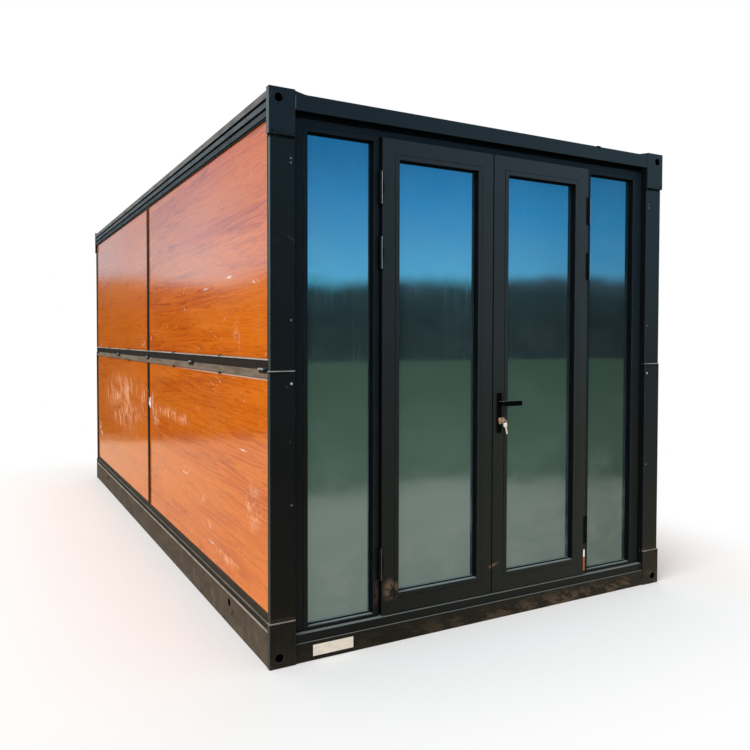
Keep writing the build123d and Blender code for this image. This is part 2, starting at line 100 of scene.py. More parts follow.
def add(tree, kind, inputs=(), output=0, stops=None, **settings):
    """Add one shader node and return one of its outputs.

    inputs maps sockets to constants, hex colours or other nodes' outputs, stops are a
    ramp's (place, hex colour) pairs, and settings are the node's own properties.
    """
    node = tree.nodes.new("ShaderNode" + kind)
    for name, value in settings.items():
        setattr(node, name, value)
    for socket, value in dict(inputs).items():
        if isinstance(value, bpy.types.NodeSocket):
            tree.links.new(value, node.inputs[socket])
        else:
            plain = linear(value) if isinstance(value, str) else value
            node.inputs[socket].default_value = plain
    if stops:
        elements = node.color_ramp.elements
        while len(elements) < len(stops):
            elements.new(1)
        for element, (place, code) in zip(elements, stops):
            element.position = place
            element.color = linear(code)
    return node.outputs[output] if node.outputs else None


def blank_finish(name):
    """A material, its empty node tree, and the place on the cabin that is being shaded."""
    material = bpy.data.materials.new(name)
    material.use_nodes = True
    material.node_tree.nodes.clear()
    return material, material.node_tree, add(material.node_tree, "TexCoord", output="Object")


def seen_directly(tree):
    """1 for rays from the camera, and for those it sends on by gloss or through glass."""
    share = 0.0
    for ray in ("Is Camera Ray", "Is Glossy Ray", "Is Transmission Ray"):
        found = add(tree, "LightPath", output=ray)
        share = add(tree, "Math", {0: share, 1: found}, operation="MAXIMUM")
    return share


def step(tree, value, low, high, least=0.0, most=1.0):
    """A value brought smoothly from least to most while it crosses low to high."""
    limits = {0: value, 1: low, 2: high, 3: least, 4: most}
    return add(tree, "MapRange", limits, interpolation_type="SMOOTHSTEP")


def product(tree, *factors):
    """Factors multiplied together."""
    so_far = factors[0]
    for factor in factors[1:]:
        so_far = add(tree, "Math", {0: so_far, 1: factor}, operation="MULTIPLY")
    return so_far


def layered(tree, base, *coats):
    """Coats, each a (share, colour), laid one after another over a base colour."""
    for share, colour in coats:
        base = add(tree, "Mix", {0: share, 6: base, 7: colour}, 2, data_type="RGBA")
    return base


FLOOR_HALF = 40.0
FLOOR_FADE = (0.05, 1.5)            # from the cabin's walls
FOOTPRINT = (1.21, 2.5, 0)
FLOOR_WHITE = "#F2F2F1"
# What gloss sees of the floor: near and far out, ahead of the front and beside the walls.
FLOOR_IN_GLOSS, SIDE_FLOOR_IN_GLOSS = "#CDBBA2", "#DCCAB1"
OUTER_FLOOR, SIDE_OUTER_FLOOR = "#717A5A", "#3E3A2E"
SIDE_FLOOR_START = (-3.2, -2.2)
OUTER_FLOOR_START = (5.0, 6.4)
SKY_IN_GLOSS = [(0.0, "#8EE8FF"), (0.40, "#86D8F4"), (1.0, "#77A7C7")]
SKY_BAND = (0.035, 0.24)
SKY_GLOSS_STRENGTH = 1.5
DIM_SKY = "#2A3A44"
BRIGHT_SKY = (-0.27, -0.19)
SCREEN_GREY, SCREEN_RIM = "#1C2022", "#3F4A4C"
SCREEN_TOP = math.sin(math.radians(4.4))
SCREEN_BLUR = 0.010
SCREEN_HUMP = (-0.345, -0.322)
SCREEN_HUMP_RISE = math.sin(math.radians(0.9))
SURROUND_LIGHT = 0.62
LAMP_STRENGTH = 2.3
LAMP_SPREAD = math.radians(50)
LAMP_TURN = (math.radians(48), 0, math.radians(-62))


def gloss_surround(tree, way):
    """What gloss mirrors around the studio: blue-white light over a low grey screen.

    The screen gives the laminate and the glass a soft horizon. Its rim is paler and a
    little uneven, and the light is brightest just above it, ahead of the left wall.
    """
    across, along, rise = (add(tree, "SeparateXYZ", {0: way}, axis) for axis in "XYZ")
    ahead = step(tree, along, -0.1, 0.1)
    level = add(tree, "MapRange", {0: rise, 1: SKY_BAND[0], 2: SKY_BAND[1]})
    sky = add(tree, "ValToRGB", {0: level}, stops=SKY_IN_GLOSS)
    sky = layered(tree, sky, (product(tree, step(tree, across, *BRIGHT_SKY), ahead, 0.42), DIM_SKY))
    hump = product(tree, step(tree, across, *SCREEN_HUMP, SCREEN_HUMP_RISE, 0.0), ahead)
    swell = add(tree, "TexNoise", {"Vector": way, "Scale": 9.0, "Detail": 4.0})
    edge = add(tree, "Math", {0: swell, 1: -0.05, 2: 0.025}, operation="MULTIPLY_ADD")
    edge = add(tree, "Math", {0: rise, 1: edge}, operation="ADD")
    edge = add(tree, "Math", {0: edge, 1: hump}, operation="SUBTRACT")
    rim = step(tree, edge, 0.25 * SCREEN_TOP, SCREEN_TOP)
    screen = layered(tree, SCREEN_GREY, (rim, SCREEN_RIM))
    below = step(tree, edge, SCREEN_TOP - SCREEN_BLUR, SCREEN_TOP + SCREEN_BLUR, 1.0, 0.0)
    return layered(tree, sky, (below, screen))


def floor_paint():
    """Studio floor paint: matt off-white that turns to plain white away from the cabin.

    Gloss sees it warmer, darker far out, and darkest far out beside the long walls.
    """
    material, tree, place = blank_finish("floor_paint")
    distance = add(tree, "VectorMath", {0: place}, "Value", operation="LENGTH")
    beside = add(tree, "VectorMath", {0: place}, operation="ABSOLUTE")
    beside = add(tree, "VectorMath", {0: beside, 1: FOOTPRINT}, operation="SUBTRACT")
    beside = add(tree, "VectorMath", {0: beside, 1: (0, 0, 0)}, operation="MAXIMUM")
    gap = add(tree, "VectorMath", {0: beside}, "Value", operation="LENGTH")
    share = product(tree, step(tree, gap, *FLOOR_FADE), seen_directly(tree))
    gloss = add(tree, "LightPath", output="Is Glossy Ray")
    side = step(tree, add(tree, "SeparateXYZ", {0: place}, "Y"), *SIDE_FLOOR_START)
    warm = layered(tree, FLOOR_IN_GLOSS, (side, SIDE_FLOOR_IN_GLOSS))
    matt = add(tree, "BsdfDiffuse", {"Color": layered(tree, FLOOR_WHITE, (gloss, warm))})
    worn = add(tree, "TexNoise", {"Vector": place, "Scale": 0.7, "Detail": 3.0})
    worn = add(tree, "Math", {0: worn, 1: 2.4, 2: -1.2}, operation="MULTIPLY_ADD")
    reach = add(tree, "Math", {0: distance, 1: worn}, operation="ADD")
    past = product(tree, step(tree, reach, *OUTER_FLOOR_START), gloss)
    distant = layered(tree, "#FFFFFF", (gloss, warm))
    outer = layered(tree, OUTER_FLOOR, (side, SIDE_OUTER_FLOOR))
    white = add(tree, "Emission", {"Color": distant, "Strength": 1.0})
    grey = add(tree, "Emission", {"Color": outer, "Strength": 1.0})
    both = add(tree, "MixShader", {0: share, 1: matt, 2: white})
    both = add(tree, "MixShader", {0: past, 1: both, 2: grey})
    add(tree, "OutputMaterial", {"Surface": both})
    return material


ground = bpy.data.meshes.new("studio_floor")
square = ((-1, -1), (1, -1), (1, 1), (-1, 1))
ground.from_pydata([(FLOOR_HALF * x, FLOOR_HALF * y, 0) for x, y in square], [], [(0, 1, 2, 3)])
ground.materials.append(floor_paint())
floor = bpy.data.objects.new("studio_floor", ground)
bpy.context.scene.collection.objects.link(floor)

world = bpy.data.worlds.new("surround")
bpy.context.scene.world = world
world.use_nodes = True
around = world.node_tree
around.nodes.clear()
in_gloss = add(around, "LightPath", output="Is Glossy Ray")
seen = gloss_surround(around, add(around, "TexCoord", output="Generated"))
seen = layered(around, "#FFFFFF", (in_gloss, seen))
strength = add(around, "Mix", {0: in_gloss, 2: 1.0, 3: SKY_GLOSS_STRENGTH})
backdrop = add(around, "Background", {"Color": seen, "Strength": strength})
soft = add(around, "Background", {"Color": "#FFFFFF", "Strength": SURROUND_LIGHT})
both = add(around, "MixShader", {0: seen_directly(around), 1: soft, 2: backdrop})
add(around, "OutputWorld", {"Surface": both})

lamp = bpy.data.objects.new("soft_lamp", bpy.data.lights.new("soft_lamp", "SUN"))
lamp.data.energy = LAMP_STRENGTH
lamp.data.angle = LAMP_SPREAD
lamp.rotation_euler = LAMP_TURN
bpy.context.scene.collection.objects.link(lamp)


# ================================================================ end frames
# Corner blocks, posts and end beams are folded and welded steel under satin black paint.
# The joints between blocks and beams carry weld beads, and pan-head screws pull the two
# post lengths and the corner trims together.

# Paint colours by height, up to the roof, on the left and on the lighter right.
ROOF_HEIGHT = 2.5
STEEL_PAINT = [(0.0, "#17150F"), (0.1, "#11110E"), (0.35, "#0D0F0F"), (0.6, "#0E1417"),
               (0.92, "#101A20"), (0.93, "#16222B")]
STEEL_PAINT_RIGHT = [(0.0, "#2A271F"), (0.1, "#26261F"), (0.5, "#22282B"),
                     (0.92, "#233039"), (0.93, "#28343B")]
ROAD_DUST, LEDGE_DUST_AND_HIGHLIGHT, MUD = "#6B6052", "#8B8F8A", "#5A4A38"


def patches(tree, place, size, turn=(0, 0, 0), detail=4.0, roughness=0.55):
    """Noise whose patches measure size, in metres, along axes turned from the object's."""
    scale = size if isinstance(size, tuple) else (size, size, size)
    grid = {"Vector": place, "Rotation": turn, "Scale": scale}
    grid = add(tree, "Mapping", grid, vector_type="TEXTURE")
    noise = {"Vector": grid, "Scale": 1.0, "Detail": detail, "Roughness": roughness}
    return add(tree, "TexNoise", noise)


def total(tree, *terms):
    """Terms added together and kept between 0 and 1."""
    so_far = terms[0]
    for term in terms[1:]:
        so_far = add(tree, "Math", {0: so_far, 1: term}, operation="ADD", use_clamp=True)
    return so_far


def hairlines(tree, place, length, width, turn, share):
    """Thin broken scratches along one direction, where share is how much of them stays."""
    drift = patches(tree, place, (length, 9 * width, 9 * width), turn, 1.5)
    off_line = add(tree, "Math", {0: drift, 1: 0.5}, operation="SUBTRACT")
    off_line = add(tree, "Math", {0: off_line}, operation="ABSOLUTE")
    line = step(tree, off_line, 0.004, 0.014, 1.0, 0.0)
    kept = patches(tree, place, (length, length / 5, length / 5), turn, 2.0)
    return product(tree, line, step(tree, kept, 0.66 - share, 0.72 - share))


def dust_film(tree, place, everywhere, foot, foot_top):
    """Dry road dust: thin overall, thick near the ground, in blotches and rain streaks."""
    height = add(tree, "SeparateXYZ", {0: place}, "Z")
    low = step(tree, height, 0.0, foot_top, foot, 0.0)
    blotch = step(tree, patches(tree, place, (0.16, 0.16, 0.11), detail=7.0), 0.3, 0.7)
    streak = step(tree, patches(tree, place, (0.018, 0.018, 0.55)), 0.3, 0.75)
    amount = add(tree, "Math", {0: everywhere, 1: low}, operation="ADD")
    mottle = add(tree, "Math", {0: blotch, 1: streak}, operation="ADD")
    return product(tree, amount, add(tree, "Math", {0: mottle, 1: 0.45}, operation="ADD"))


def look(tree, axis):
    """How far a face looks along an axis, from -1 to 1."""
    return add(tree, "SeparateXYZ", {0: add(tree, "NewGeometry", output="Normal")}, axis)


def facing(tree, axis):
    """1 on faces that look along an axis, either way."""
    either = add(tree, "Math", {0: look(tree, axis)}, operation="ABSOLUTE")
    return step(tree, either, 0.7, 0.9)


def ledge(tree):
    """1 on faces that look up, where dust settles and where finishes paint a highlight."""
    return step(tree, look(tree, "Z"), 0.93, 0.99)


def worn_edge(tree, rounded, place):
    """1 along the arrises, where the paint is rubbed thin, from a rounded normal."""
    flat = add(tree, "NewGeometry", output="Normal")
    same = add(tree, "VectorMath", {0: rounded, 1: flat}, "Value", operation="DOT_PRODUCT")
    edge = step(tree, same, 0.93, 0.999, 1.0, 0.0)
    rubbed = step(tree, patches(tree, place, (0.05, 0.05, 0.12), detail=6.0), 0.35, 0.6)
    return product(tree, edge, rubbed)


def within(tree, value, low, high, fade):
    """1 while a value lies between two limits, fading over a short way at both."""
    risen = step(tree, value, low - fade / 2, low + fade / 2)
    fallen = step(tree, value, high - fade / 2, high + fade / 2, 1.0, 0.0)
    return product(tree, risen, fallen)


def inside_box(tree, place, box):
    """1 inside a box that is mirrored to both sides and both ends of the cabin."""
    place = add(tree, "VectorMath", {0: place}, operation="ABSOLUTE")
    inside = 1.0
    for axis, (low, high) in zip("XYZ", box):
        way = add(tree, "SeparateXYZ", {0: place}, axis)
        inside = product(tree, inside, within(tree, way, low, high, 0.5 * MM))
    return inside


def black_by_height_and_side(tree, place, left_stops, right_stops):
    """A black that changes with height, and grows lighter from the left side to the right."""
    across, height = (add(tree, "SeparateXYZ", {0: place}, axis) for axis in "XZ")
    level = product(tree, height, 1 / ROOF_HEIGHT)
    left = add(tree, "ValToRGB", {0: level}, stops=left_stops)
    right = add(tree, "ValToRGB", {0: level}, stops=right_stops)
    return layered(tree, left, (step(tree, across, -1.5, 1.3), right))


def finished(material, tree, surface):
    """Close a finish with its surface shader, whose sockets are given by name."""
    skin = add(tree, "BsdfPrincipled", surface)
    add(tree, "OutputMaterial", {"Surface": skin})
    return material


def satin_steel_paint(name, dust_share=0.006, foot=0.04, bands=(), shaded_insides=(),
                      side_sheen=0.0, ledge_share=0.6, scratches=-0.06, scraped=0.3):
    """Brushed-on satin alkyd paint over folded steel.

    Its orange peel gives soft uneven gloss; arrises are rubbed grey, a few scratches run
    through it, and dust lies on its foot and on every ledge, where a painted highlight
    pales it further. dust_share and foot are how thick the dust lies all over and at the
    ground, and ledge_share how far the ledges are paled by dust and painted highlight.
    Bands are (bottom, top, colour, share) runs between two heights: dirt and wear, and also
    painted shadow and painted highlight lines. shaded_insides are boxes whose insides, seen
    through holes and grooves, are painted near black as shade, as are all faces that look
    down and the side faces inside the cabin's outline. side_sheen is how pale the outward
    side faces are painted, a painted sheen that grows with height. scratches says how many
    there are, and scraped how pale they are.
    """
    material, tree, place = blank_finish(name)
    across, height = (add(tree, "SeparateXYZ", {0: place}, axis) for axis in "XZ")
    rounded = add(tree, "Bevel", {"Radius": 2.5 * MM}, samples=4)
    shade = patches(tree, place, (0.5, 0.5, 0.7), detail=5.0)
    from_middle = add(tree, "Math", {0: across}, operation="ABSOLUTE")
    outermost = step(tree, from_middle, 1.2, 1.201)
    high_up = step(tree, height, 0.9, 2.4, 0.25, 1.0)
    inner_side_shade = step(tree, from_middle, 1.08, 1.1, 1.0, 0.0)
    paint = layered(
        tree,
        black_by_height_and_side(tree, place, STEEL_PAINT, STEEL_PAINT_RIGHT),
        (product(tree, shade, 0.3), "#0A0D0E"),
        # Painted sheen: the outward side faces drawn pale grey, more so higher up.
        (product(tree, facing(tree, "X"), outermost, high_up, side_sheen), "#6C756F"),
        # Painted shade: side faces inside the cabin's outline drawn near black.
        (product(tree, facing(tree, "X"), inner_side_shade), "#05080B"),
    )
    band_cover = 0.0
    # Bands hold dirt and wear, and also painted shadow and painted highlight lines.
    for bottom, top, colour, share in bands:
        mottle = step(tree, patches(tree, place, (0.09, 0.16, 0.03), detail=7.0), 0.3, 0.6)
        part = add(tree, "Math", {0: mottle, 1: 0.45, 2: 0.55}, operation="MULTIPLY_ADD")
        banding = product(tree, within(tree, height, bottom, top, 2 * MM), part, share)
        paint = layered(tree, paint, (banding, colour))
        band_cover = total(tree, banding, band_cover)
    marks = total(
        tree,
        hairlines(tree, place, 0.30, 1.2 * MM, (0, 0.6, 0), scratches),
        hairlines(tree, place, 0.24, 1.2 * MM, (0, -0.9, math.pi / 2), scratches),
    )
    mud = patches(tree, place, (0.10, 0.16, 0.04), (0, 0.3, 0), detail=9.0, roughness=0.75)
    mud = product(
        tree,
        step(tree, mud, 0.50, 0.56),
        step(tree, height, 0.02, 0.10, 1.0, 0.0),
        facing(tree, "Y"),
        step(tree, across, -1.0, 1.0, 0.1, 0.8),
    )
    dust = dust_film(tree, place, dust_share, foot, 0.3)
    ledge_dust_and_highlight = product(tree, ledge(tree), ledge_share)
    under = step(tree, look(tree, "Z"), -0.9, -0.6, 1.0, 0.0)
    paint = layered(
        tree,
        paint,
        (worn_edge(tree, rounded, place), "#4B5357"),
        (product(tree, marks, scraped), "#8E8A82"),
        (mud, MUD),
        (dust, ROAD_DUST),
        # Ledges: settled dust, paled further by a painted highlight.
        (ledge_dust_and_highlight, LEDGE_DUST_AND_HIGHLIGHT),
        # Painted shade: faces that look down and the shaded insides drawn near black.
        (total(tree, under, *(inside_box(tree, place, box) for box in shaded_insides)), "#040505"),
    )
    # Orange peel: dimples about 3 mm apart, drawn at 6 mm so that they show.
    peel = {"Height": patches(tree, place, 6 * MM, detail=2.0), "Normal": rounded}
    gloss = add(tree, "Math", {0: shade, 1: 0.25, 2: 0.27}, operation="MULTIPLY_ADD")
    return finished(material, tree, {
        "Base Color": paint,
        "Roughness": add(tree, "Mix", {0: total(tree, dust, ledge_dust_and_highlight, band_cover), 2: gloss, 3: 0.9}),
        "Normal": add(tree, "Bump", {**peel, "Strength": 0.12, "Distance": 0.4 * MM}),
        "IOR": 1.5,
        "Specular IOR Level": 0.08,
    })


def dress(material, *names):
    """Give CAD nodes their finish."""
    for name in names:
        for place in NODES[name].material_slots:
            place.material = material


SMOOTH_BELOW = math.radians(35)


def piece(name, material, build, *details, body="cabin", slot="painted_steel"):
    """Make a named piece with a function that fills a mesh, and fix it to a body."""
    shape = bmesh.new()
    build(shape, *details)
    bmesh.ops.recalc_face_normals(shape, faces=shape.faces)
    mesh = bpy.data.meshes.new(name)
    shape.to_mesh(mesh)
    shape.free()
    mesh.shade_smooth()
    mesh.set_sharp_from_angle(angle=SMOOTH_BELOW)
    mesh.materials.append(material)
    made = bpy.data.objects.new(name, mesh)
    bpy.context.scene.collection.objects.link(made)
    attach(made, body)


def loft(shape, sections, closed=False):
    """Skin over a row of outlines, which is capped at both ends or closed on itself."""
    rings = [[shape.verts.new(point) for point in section] for section in sections]
    for ring, following in zip(rings, rings[1:] + rings[: int(closed)]):
        for k in range(len(ring)):
            after = (k + 1) % len(ring)
            shape.faces.new((ring[k], ring[after], following[after], following[k]))
    if not closed:
        shape.faces.new(rings[0])
        shape.faces.new(rings[-1])


def circle(radius, sides, along=0.0):
    """Points evenly round a circle about +Z."""
    turns = [2 * math.pi * k / sides for k in range(sides)]
    return [Vector((radius * math.cos(turn), radius * math.sin(turn), along)) for turn in turns]


def turned(shape, profile, centre, axis, segments=20):
    """Turn a profile of (radius, distance along the axis) points about an axis."""
    axes = Vector(axis).to_track_quat("Z", "Y").to_matrix()
    loft(shape, [
        [Vector(centre) + axes @ spoke for spoke in circle(radius, segments, along)]
        for radius, along in profile
    ])


# Turned profiles in millimetres: radius, then distance out of the post's face.
SCREW_HEAD = ((5.6, -0.5), (5.6, 1.0), (4.8, 2.3), (3.0, 3.1), (1.6, 3.2), (1.4, 1.8))
SMALL_HEAD = ((3.4, 0.4), (3.4, 1.6), (2.4, 2.2), (0.8, 2.2))
WASHER = ((8.6, -0.5), (8.6, 0.4), (7.6, 0.9), (5.0, 0.9))
PAINTED_SCREWS = (2.206, 2.187, 1.510, 0.705)
BARE_SCREWS = (1.235,)
SCREW_FROM_SIDE = 104 * MM
# The four corners as (side, end): -1 is the left side and the front end.
CORNERS = [(side, end) for side in (-1, 1) for end in (-1, 1)]


def at_post_screws(shape, profile, heights):
    """Turn a profile at every screw near the inner edges of the four posts."""
    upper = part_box("upper_posts_front")
    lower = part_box("lower_posts_front")
    profile = [(radius * MM, along * MM) for radius, along in profile]
    for height in heights:
        face = (upper if height > upper[0].z else lower)[0].y
        for side, end in CORNERS:
            x = side * (cad_bounds[1][0] - SCREW_FROM_SIDE)
            turned(shape, profile, (x, -end * face, height), (0, end, 0))


WELD_BOTTOM = 2.416
WELD_RIPPLE = 3.5 * MM
UNWELDED = (-1, 1, 0)               # side, end and beam: the roof's rear left
BARE_WELD_BOTTOM = 2.420


def weld_bead(shape, start, end, radius, seed):
    """A rippled weld run between two points."""
    dice = random.Random(seed)
    run = Vector(end) - Vector(start)
    ripples = int(run.length / WELD_RIPPLE)
    profile = [(0.2 * radius, 0)]
    for k in range(1, ripples):
        swell = 1.0 if k % 2 else 0.8
        profile.append((radius * swell * dice.uniform(0.85, 1.1), run.length * k / ripples))
    profile.append((0.2 * radius, run.length))
    turned(shape, profile, start, run, segments=10)


def end_welds(shape):
    """Upright beads where the end beams meet the corner blocks."""
    for seed, name in enumerate(("roof_beam_front", "base_beam_front")):
        low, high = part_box(name)
        bottom = max(low.z, WELD_BOTTOM) if "roof" in name else low.z
        for side, end in CORNERS:
            x, y = side * high.x, -end * low.y
            if (side, end, seed) != UNWELDED:
                start = (x, y, bottom + 4 * MM)
                weld_bead(shape, start, (x, y, high.z - 4 * MM), 3.2 * MM, seed)


def bare_weld(shape):
    """A bead at the roof's front left corner that was never painted over."""
    low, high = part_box("roof_beam_front")
    x = -high.x + 3 * MM
    start = (x, low.y, BARE_WELD_BOTTOM)
    weld_bead(shape, start, (x, low.y, high.z - 8 * MM), 2.4 * MM, 0)


PLATE_ENDS = (8 * MM, 90 * MM)      # behind the roof beam's face


def roof_corner_plates(shape):
    """Small sloping plates welded over the joints between the roof beams and the blocks."""
    block_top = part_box("top_corner_blocks_front")[1].z
    low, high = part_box("roof_beam_front")
    outline = (
        (high.x + 40 * MM, block_top - 0.5 * MM),
        (high.x + 36 * MM, block_top),
        (high.x - 2 * MM, block_top),
        (high.x - 58 * MM, high.z + 1.5 * MM),
        (high.x - 60 * MM, high.z - 1 * MM),
        (high.x + 1 * MM, high.z - 1 * MM),
        (high.x + 2 * MM, block_top - 0.5 * MM),
    )
    for side, end in CORNERS:
        loft(shape, [
            [(side * x, -end * (low.y + depth), z) for x, z in outline]
            for depth in PLATE_ENDS
        ])


# Runs on the posts and blocks: bottom, top, colour and share. On the posts the black run
# under the top block is a painted shadow, the pale run at the lower post's top edge a
# painted highlight, the dark run just below it a darker line, and the brown run near the
# foot dirt. On the blocks the pale run is a painted highlight along the bottom block's top edge.
POST_SHADE_HIGHLIGHT_AND_DIRT = (
    (2.288, 2.302, "#020303", 1.0),
    (1.288, 1.2925, "#98A29A", 0.85),
    (1.278, 1.2855, "#050607", 0.8),
    (0.198, 0.216, "#4A3B2F", 0.25),
)
BLOCK_TOP_HIGHLIGHT = ((0.196, 0.2005, "#98938A", 0.8),)
# Insides of the lashing holes, as (X, Y, Z) ranges, painted near black as shade.
BLOCK_HOLLOWS = (
    ((1.10, 1.2085), (2.2, 2.4980), (0.003, 0.195)),
    ((1.10, 1.2085), (2.2, 2.4980), (2.305, 2.498)),
)

block_steel = satin_steel_paint(
    "satin_black_block_paint", bands=BLOCK_TOP_HIGHLIGHT, shaded_insides=BLOCK_HOLLOWS, side_sheen=0.7
)
post_steel = satin_steel_paint("satin_black_post_paint", bands=POST_SHADE_HIGHLIGHT_AND_DIRT, side_sheen=0.7)
black_steel = satin_steel_paint("satin_black_steel_paint", 0.002, 0.012)
for end in ("front", "rear"):
    dress(block_steel, f"bottom_corner_blocks_{end}", f"top_corner_blocks_{end}")
    dress(post_steel, f"lower_posts_{end}", f"upper_posts_{end}")
    dress(black_steel, f"base_beam_{end}", f"roof_beam_{end}")


def zinc_plate(name, colour, stain, roughness=0.42, banding=None):
    """Zinc-plated steel that has greyed outdoors: dull bright metal in soft cloudy spots.

    Brown dirt covers it outside the heights given as banding, if any are.
    """
    material, tree, place = blank_finish(name)
    rounded = add(tree, "Bevel", {"Radius": 1.5 * MM}, samples=4)
    spots = patches(tree, place, 0.02, detail=6.0)
    metal = layered(tree, colour, (step(tree, spots, 0.4, 0.75), stain))
    plated = 0.85
    if banding:
        height = add(tree, "SeparateXYZ", {0: place}, "Z")
        clean = within(tree, height, *banding, 1 * MM)
        metal = layered(tree, "#2B241C", (clean, metal))
        plated = product(tree, clean, plated)
    # Zinc spangle: crystals under 1 mm, drawn at 3 mm so that they show.
    spangle = {"Height": patches(tree, place, 3 * MM), "Normal": rounded}
    rough = {0: spots, 1: 0.3, 2: roughness - 0.15}
    return finished(material, tree, {
        "Base Color": metal,
        "Metallic": plated,
        "Roughness": add(tree, "Math", rough, operation="MULTIPLY_ADD"),
        "Normal": add(tree, "Bump", {**spangle, "Strength": 0.1, "Distance": 0.2 * MM}),
        "Specular IOR Level": 0.1,
    })


dull_plate = zinc_plate("dull_screw_plate", "#B0A698", "#4A443C")
screw_plate = zinc_plate("screw_zinc_plate", "#FFF4E6", "#C9B8A0")
weld_metal = zinc_plate("bare_weld_metal", "#8F9694", "#4A4E4E", 0.6)
piece("post_screws", dull_plate, at_post_screws, SMALL_HEAD, PAINTED_SCREWS)
piece("bare_screws", screw_plate, at_post_screws, SCREW_HEAD, BARE_SCREWS)
piece("post_washers", black_steel, at_post_screws, WASHER, PAINTED_SCREWS + BARE_SCREWS)
piece("end_welds", black_steel, end_welds)
piece("bare_weld", weld_metal, bare_weld)
piece("roof_corner_plates", black_steel, roof_corner_plates)


# ================================================================ long rails
# The bottom and roof rails are folded steel with the same paint, welded between the corner
# blocks. The bottom rails carry the most road dust, and straps have scratched them.

# Runs of dust, painted sheen and painted shade: bottom, top, colour and share. On the roof
# rail the grey runs are a painted sky sheen and the black runs painted shade in its grooves;
# on the bottom rail the dark line under the lip is a painted shadow, and the pale line on
# the lip is dust with a painted highlight.
ROOF_RAIL_SHEEN_AND_SHADE = (
    (2.370, 2.402, "#454D52", 0.9),
    (2.402, 2.418, "#030404", 0.97),
    (2.418, 2.441, "#5A656B", 0.9),
    (2.441, 2.457, "#030404", 0.97),
    (2.457, 2.490, "#747472", 0.95),
)
BASE_RAIL_LIP_LIGHT_AND_DUST = (
    (-0.010, 0.146, "#4B3F33", 0.98),
    (0.146, 0.150, "#14110E", 0.9),
    (0.150, 0.1555, "#4F4438", 0.9),
    (0.1555, 0.1605, "#D2C6B8", 0.95),
)
# Recessed faces of the rails behind their lips, as (X, Y, Z) ranges, painted near black as shade.
BASE_RAIL_HOLLOW = ((1.1, 1.2055), (0.0, 2.49), (0.002, 0.1560))
ROOF_RAIL_HOLLOW = ((1.1, 1.2055), (0.0, 2.49), (2.380, 2.4855))

dusty_highlit_steel = satin_steel_paint(
    "dusty_highlit_black_steel_paint", 0.1, 0.1, BASE_RAIL_LIP_LIGHT_AND_DUST, (BASE_RAIL_HOLLOW,),
    ledge_share=0.3, scratches=0.10, scraped=0.75,
)
sheen_painted_steel = satin_steel_paint(
    "sky_sheen_black_steel_paint", 0.06, 0.0, ROOF_RAIL_SHEEN_AND_SHADE, (ROOF_RAIL_HOLLOW,)
)
dress(dusty_highlit_steel, "base_rail_left", "base_rail_right")
dress(sheen_painted_steel, "roof_rail_left", "roof_rail_right")

FRONT = cad_bounds[0][1]            # the foremost point, on the lever
CABLE_HOLE = Vector((0, FRONT + 0.580, 0.112))
RING_DROP = Vector((0, -14 * MM, -22 * MM))
COVER_RING = 24 * MM
COVER_RING_WIRE = 1.3 * MM
COVER_RING_START, COVER_RING_STEP, COVER_RING_POINTS = -200, 9, 15


def sweep(shape, path, radius, sides=8):
    """Round bar along a list of points."""
    sections = []
    for k, point in enumerate(path):
        run = path[min(k + 1, len(path) - 1)] - path[max(k - 1, 0)]
        turn = run.to_track_quat("Z", "Y").to_matrix()
        sections.append([point + turn @ spoke for spoke in circle(radius, sides)])
    loft(shape, sections)


def cable_cover_rings(shape):
    """Bent wire of a lost cable-hole cover, left hanging beside each front hole."""
    for side in (-1, 1):
        x = side * (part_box("base_rail_right")[1].x - COVER_RING_WIRE - 0.2 * MM)
        middle = CABLE_HOLE + RING_DROP + Vector((x, 0, 0))
        path = []
        for k in range(COVER_RING_POINTS):
            turn = math.radians(COVER_RING_START + COVER_RING_STEP * k)
            path.append(middle + COVER_RING * Vector((0, math.cos(turn), math.sin(turn))))
        sweep(shape, path, COVER_RING_WIRE)


piece("cable_cover_rings", black_steel, cable_cover_rings)


# ================================================================ side wall frames
# Two rows of folded steel frames, hinged to each other at half height so that the wall can
# fold for transport. Dust has caught on every rail, and the fold hinges show bright pins.

# Runs on the wall frames: bottom, top, colour and share. Most are dust; the pale line on the foot
# rail's step and the pale line on the fold rail's lip are painted highlights, and the dark brown
# upper fold rail is dust darkened as painted shade.
WALL_BANDS_OF_DUST_SHADE_AND_LIGHT = (
    (0.158, 0.185, "#2E2820", 0.95),
    (0.185, 0.1885, "#8A7F72", 0.9),
    (0.190, 0.223, "#3A3229", 0.95),
    (1.258, 1.2945, "#7C6D5C", 0.97),
    (1.2955, 1.334, "#2C221A", 0.97),
    (1.337, 1.3435, "#B5AEA2", 0.9),
)
BARREL_BARE = (1.2925, 1.3015)
CLIP_PLACES = (0.765, 1.750, 3.250, 4.235)
CLIP_HALF = Vector((0, 8 * MM, 6 * MM))
FOLD_HINGES = 5
FOLD_HINGE_PITCH = 1.2
SHADOW_BLOCK_LENGTH = 32 * MM
SHADOW_BLOCK_LAP = 12 * MM

wall_steel = satin_steel_paint("dusty_shaded_highlit_steel_paint", 0.03, 0.0, WALL_BANDS_OF_DUST_SHADE_AND_LIGHT, ledge_share=0.2)
zinc = zinc_plate("weathered_zinc_plate", "#E4E0D4", "#8A867C", banding=BARREL_BARE)
dress(wall_steel, "rear_wall_frame")
for side in ("left", "right"):
    dress(wall_steel, f"lower_wall_frame_{side}", f"upper_wall_frame_{side}")
    dress(zinc, f"fold_hinges_{side}")


def bar(shape, low, high):
    """Plain rectangular bar between two corners."""
    corners = bmesh.ops.create_cube(shape, size=1.0)["verts"]
    size = Vector(high) - Vector(low)
    middle = (Vector(high) + Vector(low)) / 2
    for corner in corners:
        corner.co = Vector(corner.co[k] * size[k] for k in range(3)) + middle
    return corners


